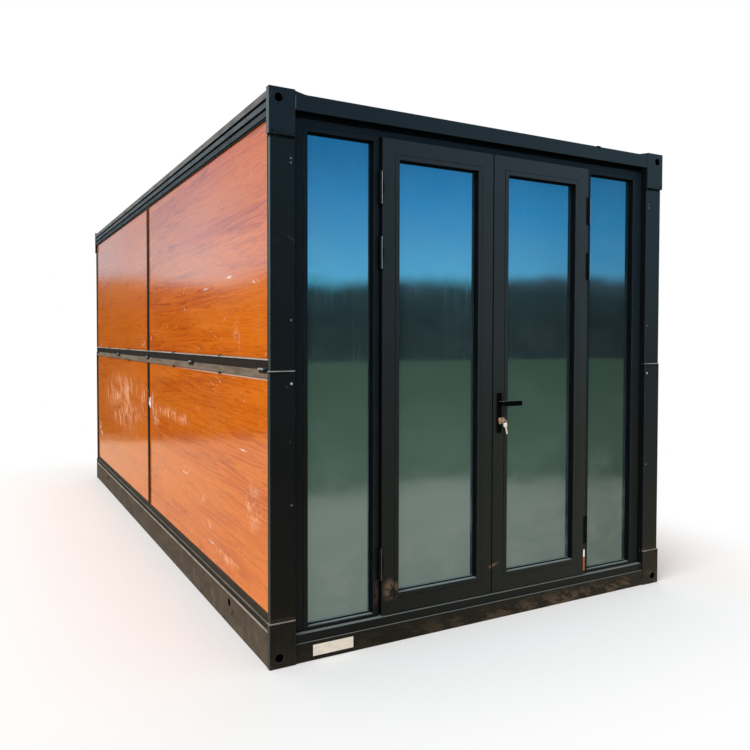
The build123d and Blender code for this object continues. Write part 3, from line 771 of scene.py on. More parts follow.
def chamfered_bar(shape, low, high, chamfer=1 * MM):
    """Rectangular bar with its edges taken off."""
    edges = dict.fromkeys(e for corner in bar(shape, low, high) for e in corner.link_edges)
    bmesh.ops.bevel(
        shape, geom=list(edges), offset=chamfer, segments=2, profile=0.7, affect="EDGES"
    )


def bars_each_side(shape, x, y, z, chamfer=1 * MM):
    """A chamfered bar between two X, two Y and two Z, and its mirror image at -X."""
    for near, far in ((-x[1], -x[0]), x):
        chamfered_bar(shape, (near, y[0], z[0]), (far, y[1], z[1]), chamfer)


def board_clips(shape):
    """Dark spring clips that pinch the boards' edges to the fold rails."""
    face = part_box("lower_wall_frame_right")[1].x
    for along in CLIP_PLACES:
        for z in (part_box("lower_boards_right")[1].z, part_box("upper_boards_right")[0].z):
            low, high = (Vector((0, FRONT + along, z)) + way * CLIP_HALF for way in (-1, 1))
            bars_each_side(shape, (face - 6 * MM, face + 5 * MM), (low.y, high.y), (low.z, high.z))


def fold_shadow_blocks(shape):
    """Black blocks at the front end of each fold hinge, which stand in for the shadow there."""
    low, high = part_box("fold_hinges_right")
    seam = (low.z + high.z) / 2
    x = (low.x - 1 * MM, high.x + 1 * MM)
    for k in range(FOLD_HINGES):
        y = low.y + FOLD_HINGE_PITCH * k - SHADOW_BLOCK_LAP
        bars_each_side(shape, x, (y, y + SHADOW_BLOCK_LENGTH), (seam - 12 * MM, seam + 6 * MM), 2 * MM)


piece("board_clips", black_steel, board_clips)
piece("fold_shadow_blocks", black_steel, fold_shadow_blocks)


# ================================================================ wall boards
# Insulated boards with a high-gloss wood-grain laminate outside and a plain white sheet
# inside, slid into the wall frames and clipped there. The laminate is scuffed, wiped milky
# in places and torn where it met the joint strip.

GRAIN = [(0.0, "#D2680F"), (0.45, "#CA5F0C"), (0.80, "#BC5309"), (0.95, "#AC4C09"),
         (1.0, "#C65D0D")]
HEART_TONE = "#DB7418"
WIPE_MARK, CHIP_WHITE, LINING_WHITE = "#F0B48C", "#F6E8DC", "#E4E3DE"
LINING_DEPTH = 2 * MM
# Marks on the long walls: (from the front, height, half length, half height).
WIPE_MARKS = (
    (0.50, 1.44, 0.08, 0.11),
    (1.12, 0.53, 0.16, 0.05),
    (1.05, 0.41, 0.16, 0.04),
    (0.72, 0.31, 0.32, 0.04),
    (0.28, 0.66, 0.16, 0.16),
    (2.75, 1.40, 0.16, 0.06),
)
SCRUBBED = (
    (2.30, 0.90, 0.22, 0.13),
    (1.80, 0.94, 0.50, 0.06),
    (2.72, 1.02, 0.14, 0.16),
    (3.60, 0.90, 1.15, 0.34),
)
CHIPS = (
    (0.056, 0.290, 0.012, 0.016),
    (0.075, 0.270, 0.010, 0.010),
    (0.052, 1.625, 0.010, 0.022),
    (0.240, 1.690, 0.060, 0.012),
    (0.620, 1.735, 0.070, 0.010),
    (1.050, 1.700, 0.080, 0.008),
    (2.560, 1.040, 0.045, 0.110),
    (2.546, 0.955, 0.020, 0.060),
    (2.408, 0.972, 0.022, 0.105),
    (4.860, 0.550, 0.060, 0.070),
    (4.780, 0.490, 0.110, 0.030),
    (2.440, 1.430, 0.012, 0.026),
    (0.950, 0.330, 0.080, 0.006),
    (1.500, 0.620, 0.100, 0.006),
    (0.420, 0.900, 0.070, 0.006),
)
# Painted highlights, pale lines where the boards' edges catch the light: the lower board's
# top edge, by height, and its front edge, from the front.
TOP_EDGE_GLINT = (1.247, 1.258)
TOP_EDGE_GLINT_FADE = (1.0, 1.9)
END_EDGE_GLINT = (0.040, 0.049)


def round_spot(tree, offset, reach, core):
    """1 in the core of a spot, fading to 0 at its reach; an axis with no reach is ignored."""
    scale = [1 / span if span else 0 for span in reach]
    offset = add(tree, "VectorMath", {0: offset, 1: scale}, operation="MULTIPLY")
    far = add(tree, "VectorMath", {0: offset}, "Value", operation="LENGTH")
    return step(tree, far, core, 1.0, 1.0, 0.0)


def marks_at(tree, place, marks):
    """1 at each mark on the long walls, fading to 0 at its rim."""
    cover = 0.0
    for along, up, reach, rise in marks:
        middle = (0, along + FRONT, up)
        offset = add(tree, "VectorMath", {0: place, 1: middle}, operation="SUBTRACT")
        cover = total(tree, round_spot(tree, offset, (0, reach, rise), 0.2), cover)
    return cover


def wood_print(tree, board):
    """Printed wood: growth rings about 30 mm apart, fine fibres and a warmer heart.

    Fibres are really under 1 mm wide; they are drawn at 7 mm so that they show.
    """
    grid = {"Vector": board, "Scale": (1, 1.4, 0.4)}
    drift = add(tree, "Mapping", grid, vector_type="TEXTURE")
    sway = add(tree, "TexNoise", {"Vector": drift, "Scale": 1.0, "Detail": 3.0}, "Color")
    lean = add(tree, "VectorMath", {0: sway, 1: (0.5, 0.5, 0.5)}, operation="SUBTRACT")
    lean = add(tree, "VectorMath", {0: lean, 1: (0, 0.3, 0.05)}, operation="MULTIPLY")
    grown = add(tree, "VectorMath", {0: board, 1: lean}, operation="ADD")
    figure = patches(tree, grown, (1, 4.2, 0.20), detail=4.0, roughness=0.46)
    rings = add(tree, "Math", {0: product(tree, figure, 19.0)}, operation="FRACT")
    heart = step(tree, patches(tree, grown, (1, 1.5, 0.16), detail=3.0), 0.35, 0.65)
    lines = patches(tree, grown, (1, 1.1, 16 * MM), detail=6.0, roughness=0.62)
    fibres = patches(tree, grown, (1, 0.14, 7 * MM), detail=5.0, roughness=0.65)
    return layered(
        tree,
        add(tree, "ValToRGB", {0: rings}, stops=GRAIN),
        (product(tree, heart, 0.7), HEART_TONE),
        (product(tree, step(tree, lines, 0.56, 0.68), 0.30), "#82360A"),
        (product(tree, step(tree, fibres, 0.50, 0.68), 0.42), "#7E3408"),
        (product(tree, step(tree, lines, 0.34, 0.48, 1.0, 0.0), 0.30), "#E57F20"),
    )


def wood_laminate(name, across, lining):
    """High-gloss printed laminate on an insulated board.

    The wood print lies under a clear face that mirrors like varnish. It is wiped milky in
    places, scratched, and chipped white at its edges, more on the left side than on the
    right. On the long walls a painted highlight pales the lower boards' top and front
    edges, and the boards are darker near the top at the front end. across is 1 where the
    boards run along X, and lining is where the inner white sheet lies.
    """
    material, tree, place = blank_finish(name)
    side, along, height = (add(tree, "SeparateXYZ", {0: place}, axis) for axis in "XYZ")
    turn = (0, 0, math.radians(90) * across)
    board = add(tree, "Mapping", {"Vector": place, "Rotation": turn}, vector_type="TEXTURE")
    wood = wood_print(tree, board)
    cloud = patches(tree, place, (0.5, 0.5, 0.22), detail=5.0)
    smear = haze = product(tree, step(tree, cloud, 0.45, 0.8), 0.05)
    scratches = total(
        tree,
        hairlines(tree, place, 0.24, 1.5 * MM, (0, -0.25, math.pi / 2), 0.0),
        hairlines(tree, place, 0.14, 1.5 * MM, (0, 0.6, math.pi / 2), -0.01),
    )
    if not across:
        darker_at_front = step(tree, along, -0.4, 0.3, 0.15, 0.0)
        wood = layered(
            tree,
            wood,
            (step(tree, along, -0.2, 0.4, 0.0, 0.45), HEART_TONE),
            # Darker near the top at the front end.
            (product(tree, step(tree, height, 1.8, 2.2), darker_at_front), "#9C4A0E"),
        )
        used = step(tree, side, -0.1, 0.1, 1.0, 0.25)
        thin = patches(tree, place, (1, 0.16, 0.12), (0.7, 0, 0), 5.0, 0.7)
        thin = product(tree, step(tree, thin, 0.38, 0.62), used)
        rub = patches(tree, place, (1, 0.06, 0.05), (0.6, 0, 0), detail=8.0, roughness=0.7)
        rub = product(tree, step(tree, rub, 0.42, 0.66), marks_at(tree, place, WIPE_MARKS), used, 0.6)
        scrubbed = marks_at(tree, place, SCRUBBED)
        strokes = patches(tree, place, (1, 0.018, 0.16), (0.25, 0, 0), 8.0, 0.72)
        strokes = product(tree, step(tree, strokes, 0.44, 0.60), scrubbed, thin, 0.75)
        crossed = patches(tree, place, (1, 0.02, 0.14), (-0.55, 0, 0), 8.0, 0.72)
        crossed = product(tree, step(tree, crossed, 0.48, 0.60), scrubbed, thin, 0.8)
        smear = total(tree, rub, total(tree, strokes, crossed), haze)
    wood = layered(tree, wood, (smear, WIPE_MARK), (product(tree, scratches, 0.45), CHIP_WHITE))
    if not across:
        torn = patches(tree, place, (1, 0.03, 0.012), (0.25, 0, 0), 8.0, 0.75)
        chip = product(tree, marks_at(tree, place, CHIPS), step(tree, torn, 0.46, 0.52))
        top_glint_fade = step(tree, along, *(FRONT + back for back in TOP_EDGE_GLINT_FADE), 0.75, 0.1)
        top_glint = product(tree, within(tree, height, *TOP_EDGE_GLINT, 2 * MM), top_glint_fade)
        end_glint = within(tree, along, *(FRONT + back for back in END_EDGE_GLINT), 3 * MM)
        # Chipped laminate, and painted highlights: pale lines along the lower boards' top and front
        # edges.
        wood = layered(
            tree,
            wood,
            (product(tree, chip, used, 0.9), CHIP_WHITE),
            (total(tree, top_glint, product(tree, end_glint, 0.6)), "#F8D6C0"),
        )
    inward = add(tree, "Math", {0: along if across else side}, operation="ABSOLUTE")
    inside = step(tree, inward, lining, lining + LINING_DEPTH, 1.0, 0.0)
    dulled = total(tree, product(tree, smear, 0.5), product(tree, scratches, 0.4), 0.10)
    wave = {"Height": patches(tree, place, (0.3, 0.5, 0.25), detail=2.0)}
    return finished(material, tree, {
        "Base Color": layered(tree, wood, (inside, LINING_WHITE)),
        "Roughness": add(tree, "Mix", {0: inside, 2: dulled, 3: 0.45}),
        "Normal": add(tree, "Bump", {**wave, "Strength": 0.3, "Distance": 1.5 * MM}),
        "IOR": 1.5,
        "Specular IOR Level": 0.4,
        "Specular Tint": "#B4CDEB",
    })


def matt_board(name, light, dark, grain):
    """Matt sheet or board: two near colours in soft blotches, and a grit without shine."""
    material, tree, place = blank_finish(name)
    blotch = patches(tree, place, 0.4, detail=6.0)
    grit = patches(tree, place, grain, detail=3.0)
    base = layered(
        tree,
        light,
        (step(tree, blotch, 0.35, 0.7), dark),
        (product(tree, step(tree, grit, 0.55, 0.75), 0.25), dark),
    )
    return finished(material, tree, {
        "Base Color": base,
        "Roughness": 0.7,
        "Normal": add(tree, "Bump", {"Height": grit, "Strength": 0.2, "Distance": 0.5 * MM}),
        "IOR": 1.5,
    })


# Slivers of torn laminate: the edge each springs from, its bottom and top, and its reach
# over the joint strip.
TORN = (
    (2.524, 0.945, 1.100, 26 * MM),
    (2.524, 1.180, 1.215, 10 * MM),
    (2.476, 0.930, 1.010, -22 * MM),
)
SLIVER_ROW = 12 * MM
SLIVER_THICKNESS = Vector((0.8 * MM, 0, 0))


def torn_laminate(shape):
    """Slivers of laminate that have sprung off the boards' edges at the joint strip."""
    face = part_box("lower_boards_left")[0].x
    dice = random.Random(5)
    for back, bottom, top, reach in TORN:
        rows = []
        count = max(3, int((top - bottom) / SLIVER_ROW))
        for k in range(count + 1):
            z = bottom + (top - bottom) * k / count
            swing = reach * math.sin(math.pi * (k + 0.5) / (count + 1)) * dice.uniform(0.5, 1.0)
            sprung = Vector((face - 1 * MM - 0.4 * abs(swing), FRONT + back - swing, z))
            held = Vector((face - 0.5 * MM, FRONT + back, z))
            rows.append((held, sprung, sprung - SLIVER_THICKNESS, held - SLIVER_THICKNESS))
        loft(shape, rows)


side_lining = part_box("lower_boards_right")[0].x
side_wood = wood_laminate("gloss_wood_laminate", 0, side_lining)
for side in ("left", "right"):
    dress(side_wood, f"lower_boards_{side}", f"upper_boards_{side}")
torn_paper = matt_board("torn_laminate_core", "#F7EBE2", "#E3C3B0", 6 * MM)
piece("torn_laminate", torn_paper, torn_laminate, slot="wood_laminate")
rear_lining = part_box("rear_boards")[0].y
dress(wood_laminate("gloss_wood_laminate_rear", 1, rear_lining), "rear_boards")


# ================================================================ floor and roof
# Steel joists carry a floor board of fibre cement, screwed down. The insulated roof panel
# is lined with white sheet, and a ribbed, colour-coated steel sheet covers it.

dress(matt_board("fibre_cement_floor", "#9B948A", "#7F786D", 8 * MM), "floor_deck")
dress(matt_board("white_ceiling_sheet", "#E6E5E1", "#D6D5D0", 6 * MM), "roof_panel")
dress(matt_board("coated_roof_sheet", "#888E92", "#7C8184", 10 * MM), "roof_sheet")
dress(black_steel, "floor_joists")


# ================================================================ glazed front frame
# Powder-coated aluminium bars around the sidelights and the pair of doors: clip-in beads
# and black gaskets hold the panes, and a ribbed rubber seal closes the gap under the beam.

FRAME_COAT = [(0.0, "#0E0F0C"), (0.35, "#0C0E0E"), (0.6, "#061016"), (1.0, "#05121D")]
FRAME_COAT_RIGHT = [(0.0, "#1E1F1A"), (0.35, "#1C1E1B"), (0.6, "#121C22"),
                    (1.0, "#0F1C26")]
LEAF_COAT = [(0.0, "#0E0F0B"), (0.35, "#121411"), (0.6, "#171D20"), (1.0, "#19242B")]
LEAF_COAT_RIGHT = [(0.0, "#272822"), (0.35, "#2A2C26"), (0.6, "#2C3235"), (1.0, "#2F383D")]
RUBBED_HEIGHTS = (0.145, 2.335)
# Mud on the front: middle (X, Z), reach (X, Z), slope and strength.
MUD_SMEARS = (
    ((-0.596, 0.245), (0.055, 0.07), 0.0, 1),
    ((-0.003, 0.268), (0.066, 0.011), 0.32, 1),
    ((-0.665, 0.25), (0.02, 0.09), 0.0, 0.5),
)
MITRE_REACH = 0.11

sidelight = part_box("sidelight_glass")
frame_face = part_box("front_jambs")[0].y
inner_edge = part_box("front_mullion_right")[1].x
light_edge = sidelight[1].x


def mud_smears(tree, place):
    """1 in the middle of each smear of mud on the front, fading to 0 at its reach."""
    spots = []
    for middle, reach, slope, strength in MUD_SMEARS:
        middle = (middle[0], 0, middle[1])
        offset = add(tree, "VectorMath", {0: place, 1: middle}, operation="SUBTRACT")
        offset = {"Vector": offset, "Angle": slope}
        offset = add(tree, "VectorRotate", offset, rotation_type="Y_AXIS")
        spot = round_spot(tree, offset, (reach[0], 0, reach[1]), 0.3)
        spots.append(spot if strength == 1 else product(tree, spot, strength))
    return total(tree, *spots)


def seam_at_corners(tree, across, height):
    """1 along the mitred seams at the corners of both door leaves."""
    low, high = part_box("right_leaf_frame")
    from_middle = add(tree, "Math", {0: across}, operation="ABSOLUTE")
    gaps = []
    for value, least, most in ((from_middle, low.x, high.x), (height, low.z, high.z)):
        centred = add(tree, "Math", {0: value, 1: (least + most) / 2}, operation="SUBTRACT")
        centred = add(tree, "Math", {0: centred}, operation="ABSOLUTE")
        half = (most - least) / 2
        gaps.append(add(tree, "Math", {0: half, 1: centred}, operation="SUBTRACT"))
    uneven = add(tree, "Math", {0: gaps[0], 1: gaps[1]}, operation="SUBTRACT")
    seam = within(tree, uneven, -1.2 * MM, 1.2 * MM, 1 * MM)
    return product(tree, seam, within(tree, gaps[0], 0.0, MITRE_REACH, 1 * MM))


def powder_coat(name, left_stops, right_stops):
    """Fine-textured black powder coating on extruded aluminium.

    It is an even soft matt with a fine grit, pale scuffs along the mullions where things
    were carried past, and brown mud wiped on near its foot. Faces that look sideways are
    painted near black as shade, and faces that look up are paled by dust and a painted
    highlight. The stops are its blacks by height on the left, and on the lighter right.
    """
    material, tree, place = blank_finish(name)
    across, height = (add(tree, "SeparateXYZ", {0: place}, axis) for axis in "XZ")
    rounded = add(tree, "Bevel", {"Radius": 1.5 * MM}, samples=4)
    cloud = patches(tree, place, (0.3, 0.3, 0.5), detail=4.0)
    drag = patches(tree, place, (0.012, 0.02, 0.12), detail=8.0, roughness=0.7)
    left_rub = within(tree, across, -inner_edge - 12 * MM, -inner_edge - 1 * MM, 4 * MM)
    upright = within(tree, height, *RUBBED_HEIGHTS, 4 * MM)
    left_rub = product(tree, left_rub, step(tree, drag, 0.36, 0.66), upright, 0.7)
    right_rub = within(tree, across, light_edge + 1 * MM, light_edge + 14 * MM, 6 * MM)
    right_rub = product(tree, right_rub, step(tree, drag, 0.62, 0.68), 0.8)
    scuff = step(tree, patches(tree, place, (0.02, 0.02, 0.05), detail=7.0), 0.72, 0.78)
    wipe = patches(tree, place, (0.05, 0.1, 0.06), (0, 0.6, 0), detail=9.0, roughness=0.75)
    coat = layered(
        tree,
        black_by_height_and_side(tree, place, left_stops, right_stops),
        (product(tree, cloud, 0.12), "#3A4043"),
        (product(tree, worn_edge(tree, rounded, place), 0.35), "#6A6C68"),
        (total(tree, left_rub, right_rub), "#7D776C"),
        (product(tree, scuff, 0.4), "#7B7871"),
        (product(tree, step(tree, wipe, 0.44, 0.54), mud_smears(tree, place), 0.9), "#655040"),
        (product(tree, seam_at_corners(tree, across, height), 0.5), "#06090B"),
        # Painted shade: faces that look sideways drawn near black.
        (product(tree, facing(tree, "X"), 0.9), "#020305"),
        # Faces that look up: dust, and a painted highlight.
        (product(tree, ledge(tree), 0.7), "#8A928E"),
    )
    # The coat's grit is about 0.3 mm, drawn at 1.5 mm so that it shows.
    grit = {"Height": patches(tree, place, 1.5 * MM, detail=2.0), "Normal": rounded}
    return finished(material, tree, {
        "Base Color": coat,
        "Roughness": add(tree, "Math", {0: cloud, 1: 0.2, 2: 0.38}, operation="MULTIPLY_ADD"),
        "Normal": add(tree, "Bump", {**grit, "Strength": 0.15, "Distance": 0.15 * MM}),
        "IOR": 1.5,
        "Specular IOR Level": 0.1,
    })


def black_rubber(name):
    """Extruded rubber seal: deep matt black with a bloom of dust and drag lines; faces that look up
    are paled by dust and a painted highlight.
    """
    material, tree, place = blank_finish(name)
    bloom = step(tree, patches(tree, place, 0.06, detail=6.0), 0.4, 0.8)
    drag = {"Height": patches(tree, place, 2 * MM)}
    bloomed = (product(tree, bloom, 0.15), "#23282C")
    ledge_dust_and_sheen = (product(tree, ledge(tree), 0.8), "#8E9896")
    return finished(material, tree, {
        "Base Color": layered(tree, "#05080B", bloomed, ledge_dust_and_sheen),
        "Roughness": 0.6,
        "Normal": add(tree, "Bump", {**drag, "Strength": 0.1, "Distance": 0.2 * MM}),
        "IOR": 1.5,
        "Specular IOR Level": 0.1,
    })


frame_coat = powder_coat("black_frame_powder_coat", FRAME_COAT, FRAME_COAT_RIGHT)
leaf_coat = powder_coat("black_leaf_powder_coat", LEAF_COAT, LEAF_COAT_RIGHT)
rubber = black_rubber("black_seal_rubber")
dress(frame_coat, "front_jambs", "front_mullion_left", "front_mullion_right", "front_head",
      "front_sill")

BEAD_WIDTH = 20 * MM
BEAD_PROUD = 2.4 * MM
GROOVE = 2.5 * MM
REVEAL_SHADE_SHEET = 1.2 * MM
GASKET_WIDTH = 9 * MM
GASKET_DEPTH = 7 * MM


def mitred_loop(shape, opening, profile):
    """A closed bar around an opening, mitred at its corners.

    opening is (left, right, bottom, top) and profile is a closed outline of (distance in
    from the opening's edge, Y) points.
    """
    left, right, bottom, top = opening
    corners = ((left, bottom, 1, 1), (right, bottom, -1, 1), (right, top, -1, -1),
               (left, top, 1, -1))
    loft(shape, [
        [(x + across * inset, y, z + up * inset) for inset, y in profile]
        for x, z, across, up in corners
    ], closed=True)


def beads(shape, openings, face):
    """Snap-in beads that frame the panes: they stand a little proud of the bars' face."""
    for opening in openings:
        mitred_loop(shape, opening, (
            (-BEAD_WIDTH, face + 1 * MM),
            (-BEAD_WIDTH, face - BEAD_PROUD + 0.8 * MM),
            (-BEAD_WIDTH + 1 * MM, face - BEAD_PROUD),
            (-1 * MM, face - BEAD_PROUD),
            (0, face - BEAD_PROUD + 1 * MM),
            (0, face + 1 * MM),
        ))


def gaskets(shape, openings, face, glass):
    """Rubber that lines each bead and turns onto the glass, and the black seam around it.

    The black lining down each bead's reveal is a dark sheet that stands in for the reveal's shade.
    """
    lip = glass - GASKET_DEPTH
    for opening in openings:
        mitred_loop(shape, opening, (
            (-0.5 * MM, glass + 1 * MM),
            (-0.5 * MM, face + 1.5 * MM),
            (REVEAL_SHADE_SHEET, face + 2 * MM),
            (REVEAL_SHADE_SHEET, lip),
            (GASKET_WIDTH - 2 * MM, lip + 1 * MM),
            (GASKET_WIDTH, glass - 1 * MM),
            (GASKET_WIDTH, glass + 1 * MM),
        ))
        mitred_loop(shape, opening, (
            (-BEAD_WIDTH - GROOVE, face + 1 * MM),
            (-BEAD_WIDTH - GROOVE, face - 0.4 * MM),
            (-BEAD_WIDTH + 0.5 * MM, face - 0.4 * MM),
            (-BEAD_WIDTH + 0.5 * MM, face + 1 * MM),
        ))


SEAL_RIBS = 3
RIB_PITCH = 6 * MM


def head_seal(shape):
    """Ribbed rubber strip in the recess between the frame's head and the roof beam."""
    low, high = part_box("roof_beam_front")
    head_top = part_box("front_head")[1].z
    face = frame_face + 4 * MM
    profile = []
    for k in range(SEAL_RIBS):
        z = head_top + 1 * MM + RIB_PITCH * k
        profile += [(face + 6 * MM, z), (face, z + 1.5 * MM), (face, z + 4 * MM),
                    (face + 6 * MM, z + 5.5 * MM)]
    profile += [(face + 12 * MM, profile[-1][1]), (face + 12 * MM, profile[0][1])]
    loft(shape, [[(x, y, z) for y, z in profile] for x in (low.x, high.x)])


# The rubber cord and the folded cover strip: depth behind the frame's face, width and how
# far each stands off the jamb.
POST_SEALS = ((1 * MM, 13 * MM, 5 * MM), (19 * MM, 12 * MM, 2.5 * MM))
POST_SEAL_FOOT = 40 * MM


def post_seals(shape):
    """Seal in each corner between jamb and post: a rubber cord and a folded cover strip."""
    post_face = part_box("lower_posts_front")[0].y
    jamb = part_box("front_jambs")[1]
    z = (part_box("base_beam_front")[1].z + POST_SEAL_FOOT, jamb.z - 1 * MM)
    for depth, width, proud in POST_SEALS:
        near = max(frame_face - depth - width, post_face + 4 * MM)
        bars_each_side(shape, (jamb.x - proud, jamb.x + 1 * MM), (near, near + width), z)


CLIP_FROM_MIDDLE = 0.707
CLIP = 24 * MM


def roof_edge_clip(shape):
    """A rubber cable clip left on the top edge of the front roof beam."""
    low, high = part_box("roof_beam_front")
    bar(
        shape,
        (CLIP_FROM_MIDDLE - CLIP / 2, low.y - 1.5 * MM, high.z - 9 * MM),
        (CLIP_FROM_MIDDLE + CLIP / 2, low.y + 14 * MM, high.z + 3 * MM),
    )


ALUMINIUM = "powder_coated_aluminium"
low, high = sidelight[0].z, sidelight[1].z
SIDELIGHTS = ((-light_edge, -inner_edge, low, high), (inner_edge, light_edge, low, high))
piece("post_seals", rubber, post_seals)
piece("roof_edge_clip", rubber, roof_edge_clip)
piece("sidelight_beads", frame_coat, beads, SIDELIGHTS, frame_face, slot=ALUMINIUM)
piece("sidelight_gaskets", rubber, gaskets, SIDELIGHTS, frame_face, sidelight[0].y,
      slot=ALUMINIUM)
piece("head_seal", rubber, head_seal, slot=ALUMINIUM)


# ================================================================ mirror glass
# Toughened panes with a blue reflective coating. They hide the room behind, ripple slightly,
# and carry dried rain spots and dust that thickens towards the bottom.

# Coating colour by height, from the panes' foot to their head: blue, with a painted reflection in it,
# greyer and greener low down, a darker band about two thirds up and deeper blue at the head.
GLASS_COLOUR_AND_REFLECTION = [(0.0, "#7F9CA5"), (0.30, "#8AA8B2"), (0.55, "#6E9096"), (0.69, "#5C8088"),
              (0.73, "#7698AC"), (0.80, "#6690AA"), (0.88, "#4E8CAE"), (1.0, "#3783A4")]
PANE_FOOT, PANE_HEAD = 0.14, 2.34


def mirror_glass(name):
    """Blue reflective coating on float glass: a blue mirror under a little dry dust. Its colour also
    carries a painted reflection: it changes with height and darkens towards the right.
    """
    material, tree, place = blank_finish(name)
    across, height = (add(tree, "SeparateXYZ", {0: place}, axis) for axis in "XZ")
    level = add(tree, "MapRange", {0: height, 1: PANE_FOOT, 2: PANE_HEAD})
    cloud = patches(tree, place, (0.5, 1.0, 0.3), (0, 0.12, 0), detail=4.0)
    drift = add(tree, "Math", {0: cloud, 1: 0.16, 2: -0.08}, operation="MULTIPLY_ADD")
    coat_and_reflection = add(tree, "ValToRGB", {0: total(tree, level, drift)}, stops=GLASS_COLOUR_AND_REFLECTION)
    streak = step(tree, patches(tree, place, (0.012, 1.0, 0.5), detail=5.0), 0.55, 0.8)
    spots = step(tree, patches(tree, place, 9 * MM, detail=2.0), 0.74, 0.78)
    low = step(tree, height, 0.2, 1.1, 0.45, 0.06)
    film = step(tree, patches(tree, place, (0.2, 1.0, 0.13), detail=7.0), 0.35, 0.75)
    dust = total(tree, product(tree, film, low), product(tree, streak, 0.12),
                 product(tree, spots, 0.15))
    # Painted reflection: the panes drawn darker towards the right.
    darker_right = step(tree, across, -0.2, 1.0, 0.0, 0.3)
    ripple = {"Height": patches(tree, place, (0.35, 1.0, 0.5), detail=1.0)}
    return finished(material, tree, {
        "Base Color": layered(tree, coat_and_reflection, (darker_right, "#0E1A1E"), (dust, "#8E9890")),
        "Metallic": add(tree, "Math", {0: dust, 1: -0.5, 2: 0.9}, operation="MULTIPLY_ADD"),
        "Roughness": add(tree, "Math", {0: dust, 1: 0.5, 2: 0.03}, operation="MULTIPLY_ADD"),
        "Normal": add(tree, "Bump", {**ripple, "Strength": 0.15, "Distance": 1.0 * MM}),
    })


dress(mirror_glass("blue_mirror_glass"), "sidelight_glass", "left_leaf_glass",
      "right_leaf_glass")


# ================================================================ door leaves
# Each leaf is a mitred border of hollow aluminium bar around one pane, with the same beads
# and gaskets as the sidelights and a rubber strip down the meeting edge.

dress(leaf_coat, "left_leaf_frame", "right_leaf_frame")


def meeting_seal(shape):
    """Rubber lip that closes the gap where the leaves meet, fixed to the left leaf."""
    low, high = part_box("left_leaf_frame")
    bar(
        shape,
        (high.x - 1.5 * MM, low.y - 0.3 * MM, low.z),
        (high.x + 1.5 * MM, low.y + 12 * MM, high.z),
    )


piece("meeting_seal", rubber, meeting_seal, body="left_leaf", slot=ALUMINIUM)
for leaf in ("left_leaf", "right_leaf"):
    leaf_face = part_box(f"{leaf}_frame")[0].y
    low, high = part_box(f"{leaf}_glass")
    pane = ((low.x, high.x, low.z, high.z),)
    piece(f"{leaf}_beads", leaf_coat, beads, pane, leaf_face, body=leaf, slot=ALUMINIUM)
    piece(f"{leaf}_gaskets", rubber, gaskets, pane, leaf_face, low.y, body=leaf, slot=ALUMINIUM)


# ================================================================ door hinges
# Three-knuckle steel hinges on the leaves' outer stiles, with thin black flanges lapping the
# right leaf's face beside its knuckles; the flanges also stand in for the knuckles' shadow
# there. Their black enamel carries a painted highlight, bright grey on the flanks that look
# right and forward.

HINGE_MIDDLES = (0.375, 1.830, 2.130)
FLANGE_HALF = 74 * MM


def hinge_enamel(name):
    """Black enamel on steel hinges, with a painted highlight: bright grey on the flanks that look
    towards +X and the front.
    """
    material, tree, place = blank_finish(name)
    height = add(tree, "SeparateXYZ", {0: place}, "Z")
    rub = patches(tree, place, (0.01, 0.01, 0.06), detail=5.0)
    # Painted highlight: bright grey on the flank that looks right and forward, less on the lowest
    # hinges.
    bare = product(
        tree,
        step(tree, look(tree, "X"), 0.20, 0.35),
        step(tree, look(tree, "Y"), -0.2, -0.1, 1.0, 0.0),
        step(tree, rub, 0.2, 0.45),
        step(tree, height, 0.6, 1.6, 0.25, 1.0),
    )
    return finished(material, tree, {
        "Base Color": layered(tree, "#020303", (bare, "#B9C1C4")),
        "Roughness": add(tree, "Math", {0: bare, 1: -0.1, 2: 0.5}, operation="MULTIPLY_ADD"),
        "Normal": add(tree, "Bump", {"Height": rub, "Strength": 0.1, "Distance": 0.3 * MM}),
        "IOR": 1.5,
        "Specular IOR Level": 0.15,
    })


def shadow_flanges(shape):
    """Flanges that lap the right leaf's face beside its three knuckles, and stand in for the
    knuckles' shadow there.
    """
    low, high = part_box("right_leaf_frame")
    for middle in HINGE_MIDDLES:
        chamfered_bar(
            shape,
            (high.x - 13 * MM, low.y - 2.5 * MM, middle - FLANGE_HALF),
            (high.x - 1.5 * MM, low.y + 0.5 * MM, middle + FLANGE_HALF),
        )


black_enamel = hinge_enamel("black_enamel_flank_highlight")
dress(black_enamel, "left_leaf_hinges", "right_leaf_hinges", "door_hinges_fixed")
piece("shadow_flanges", black_enamel, shadow_flanges, body="right_leaf", slot="hinge_steel")


# ================================================================ film scrap
# A scrap of protective film, white above and orange below, still stuck to the right leaf's
# edge under its lowest hinge.

SCRAP_WIDTH = 11 * MM
SCRAP_TOP, SCRAP_SPLIT, SCRAP_BOTTOM = 0.266, 0.226, 0.150
SCRAP_BULGE = 1.2 * MM
SCRAP_ROWS, SCRAP_COLUMNS = 8, 3
FILM = Vector((0, 0.5 * MM, 0))


def curled_strip(shape, bottom, top):
    """A thin strip of film whose middle bulges off the leaf's edge."""
    low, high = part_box("right_leaf_frame")
    rows = []
    for k in range(SCRAP_ROWS + 1):
        z = bottom + (top - bottom) * k / SCRAP_ROWS
        bulge = math.sin(math.pi * (z - SCRAP_BOTTOM) / (SCRAP_TOP - SCRAP_BOTTOM))
        outer = []
        for j in range(SCRAP_COLUMNS + 1):
            across = j / SCRAP_COLUMNS
            x = high.x - SCRAP_WIDTH * (1 - across)
            y = low.y - 0.6 * MM - SCRAP_BULGE * bulge * math.sin(math.pi * across)
            outer.append(Vector((x, y, z)))
        rows.append(outer + [point + FILM for point in reversed(outer)])
    loft(shape, rows)


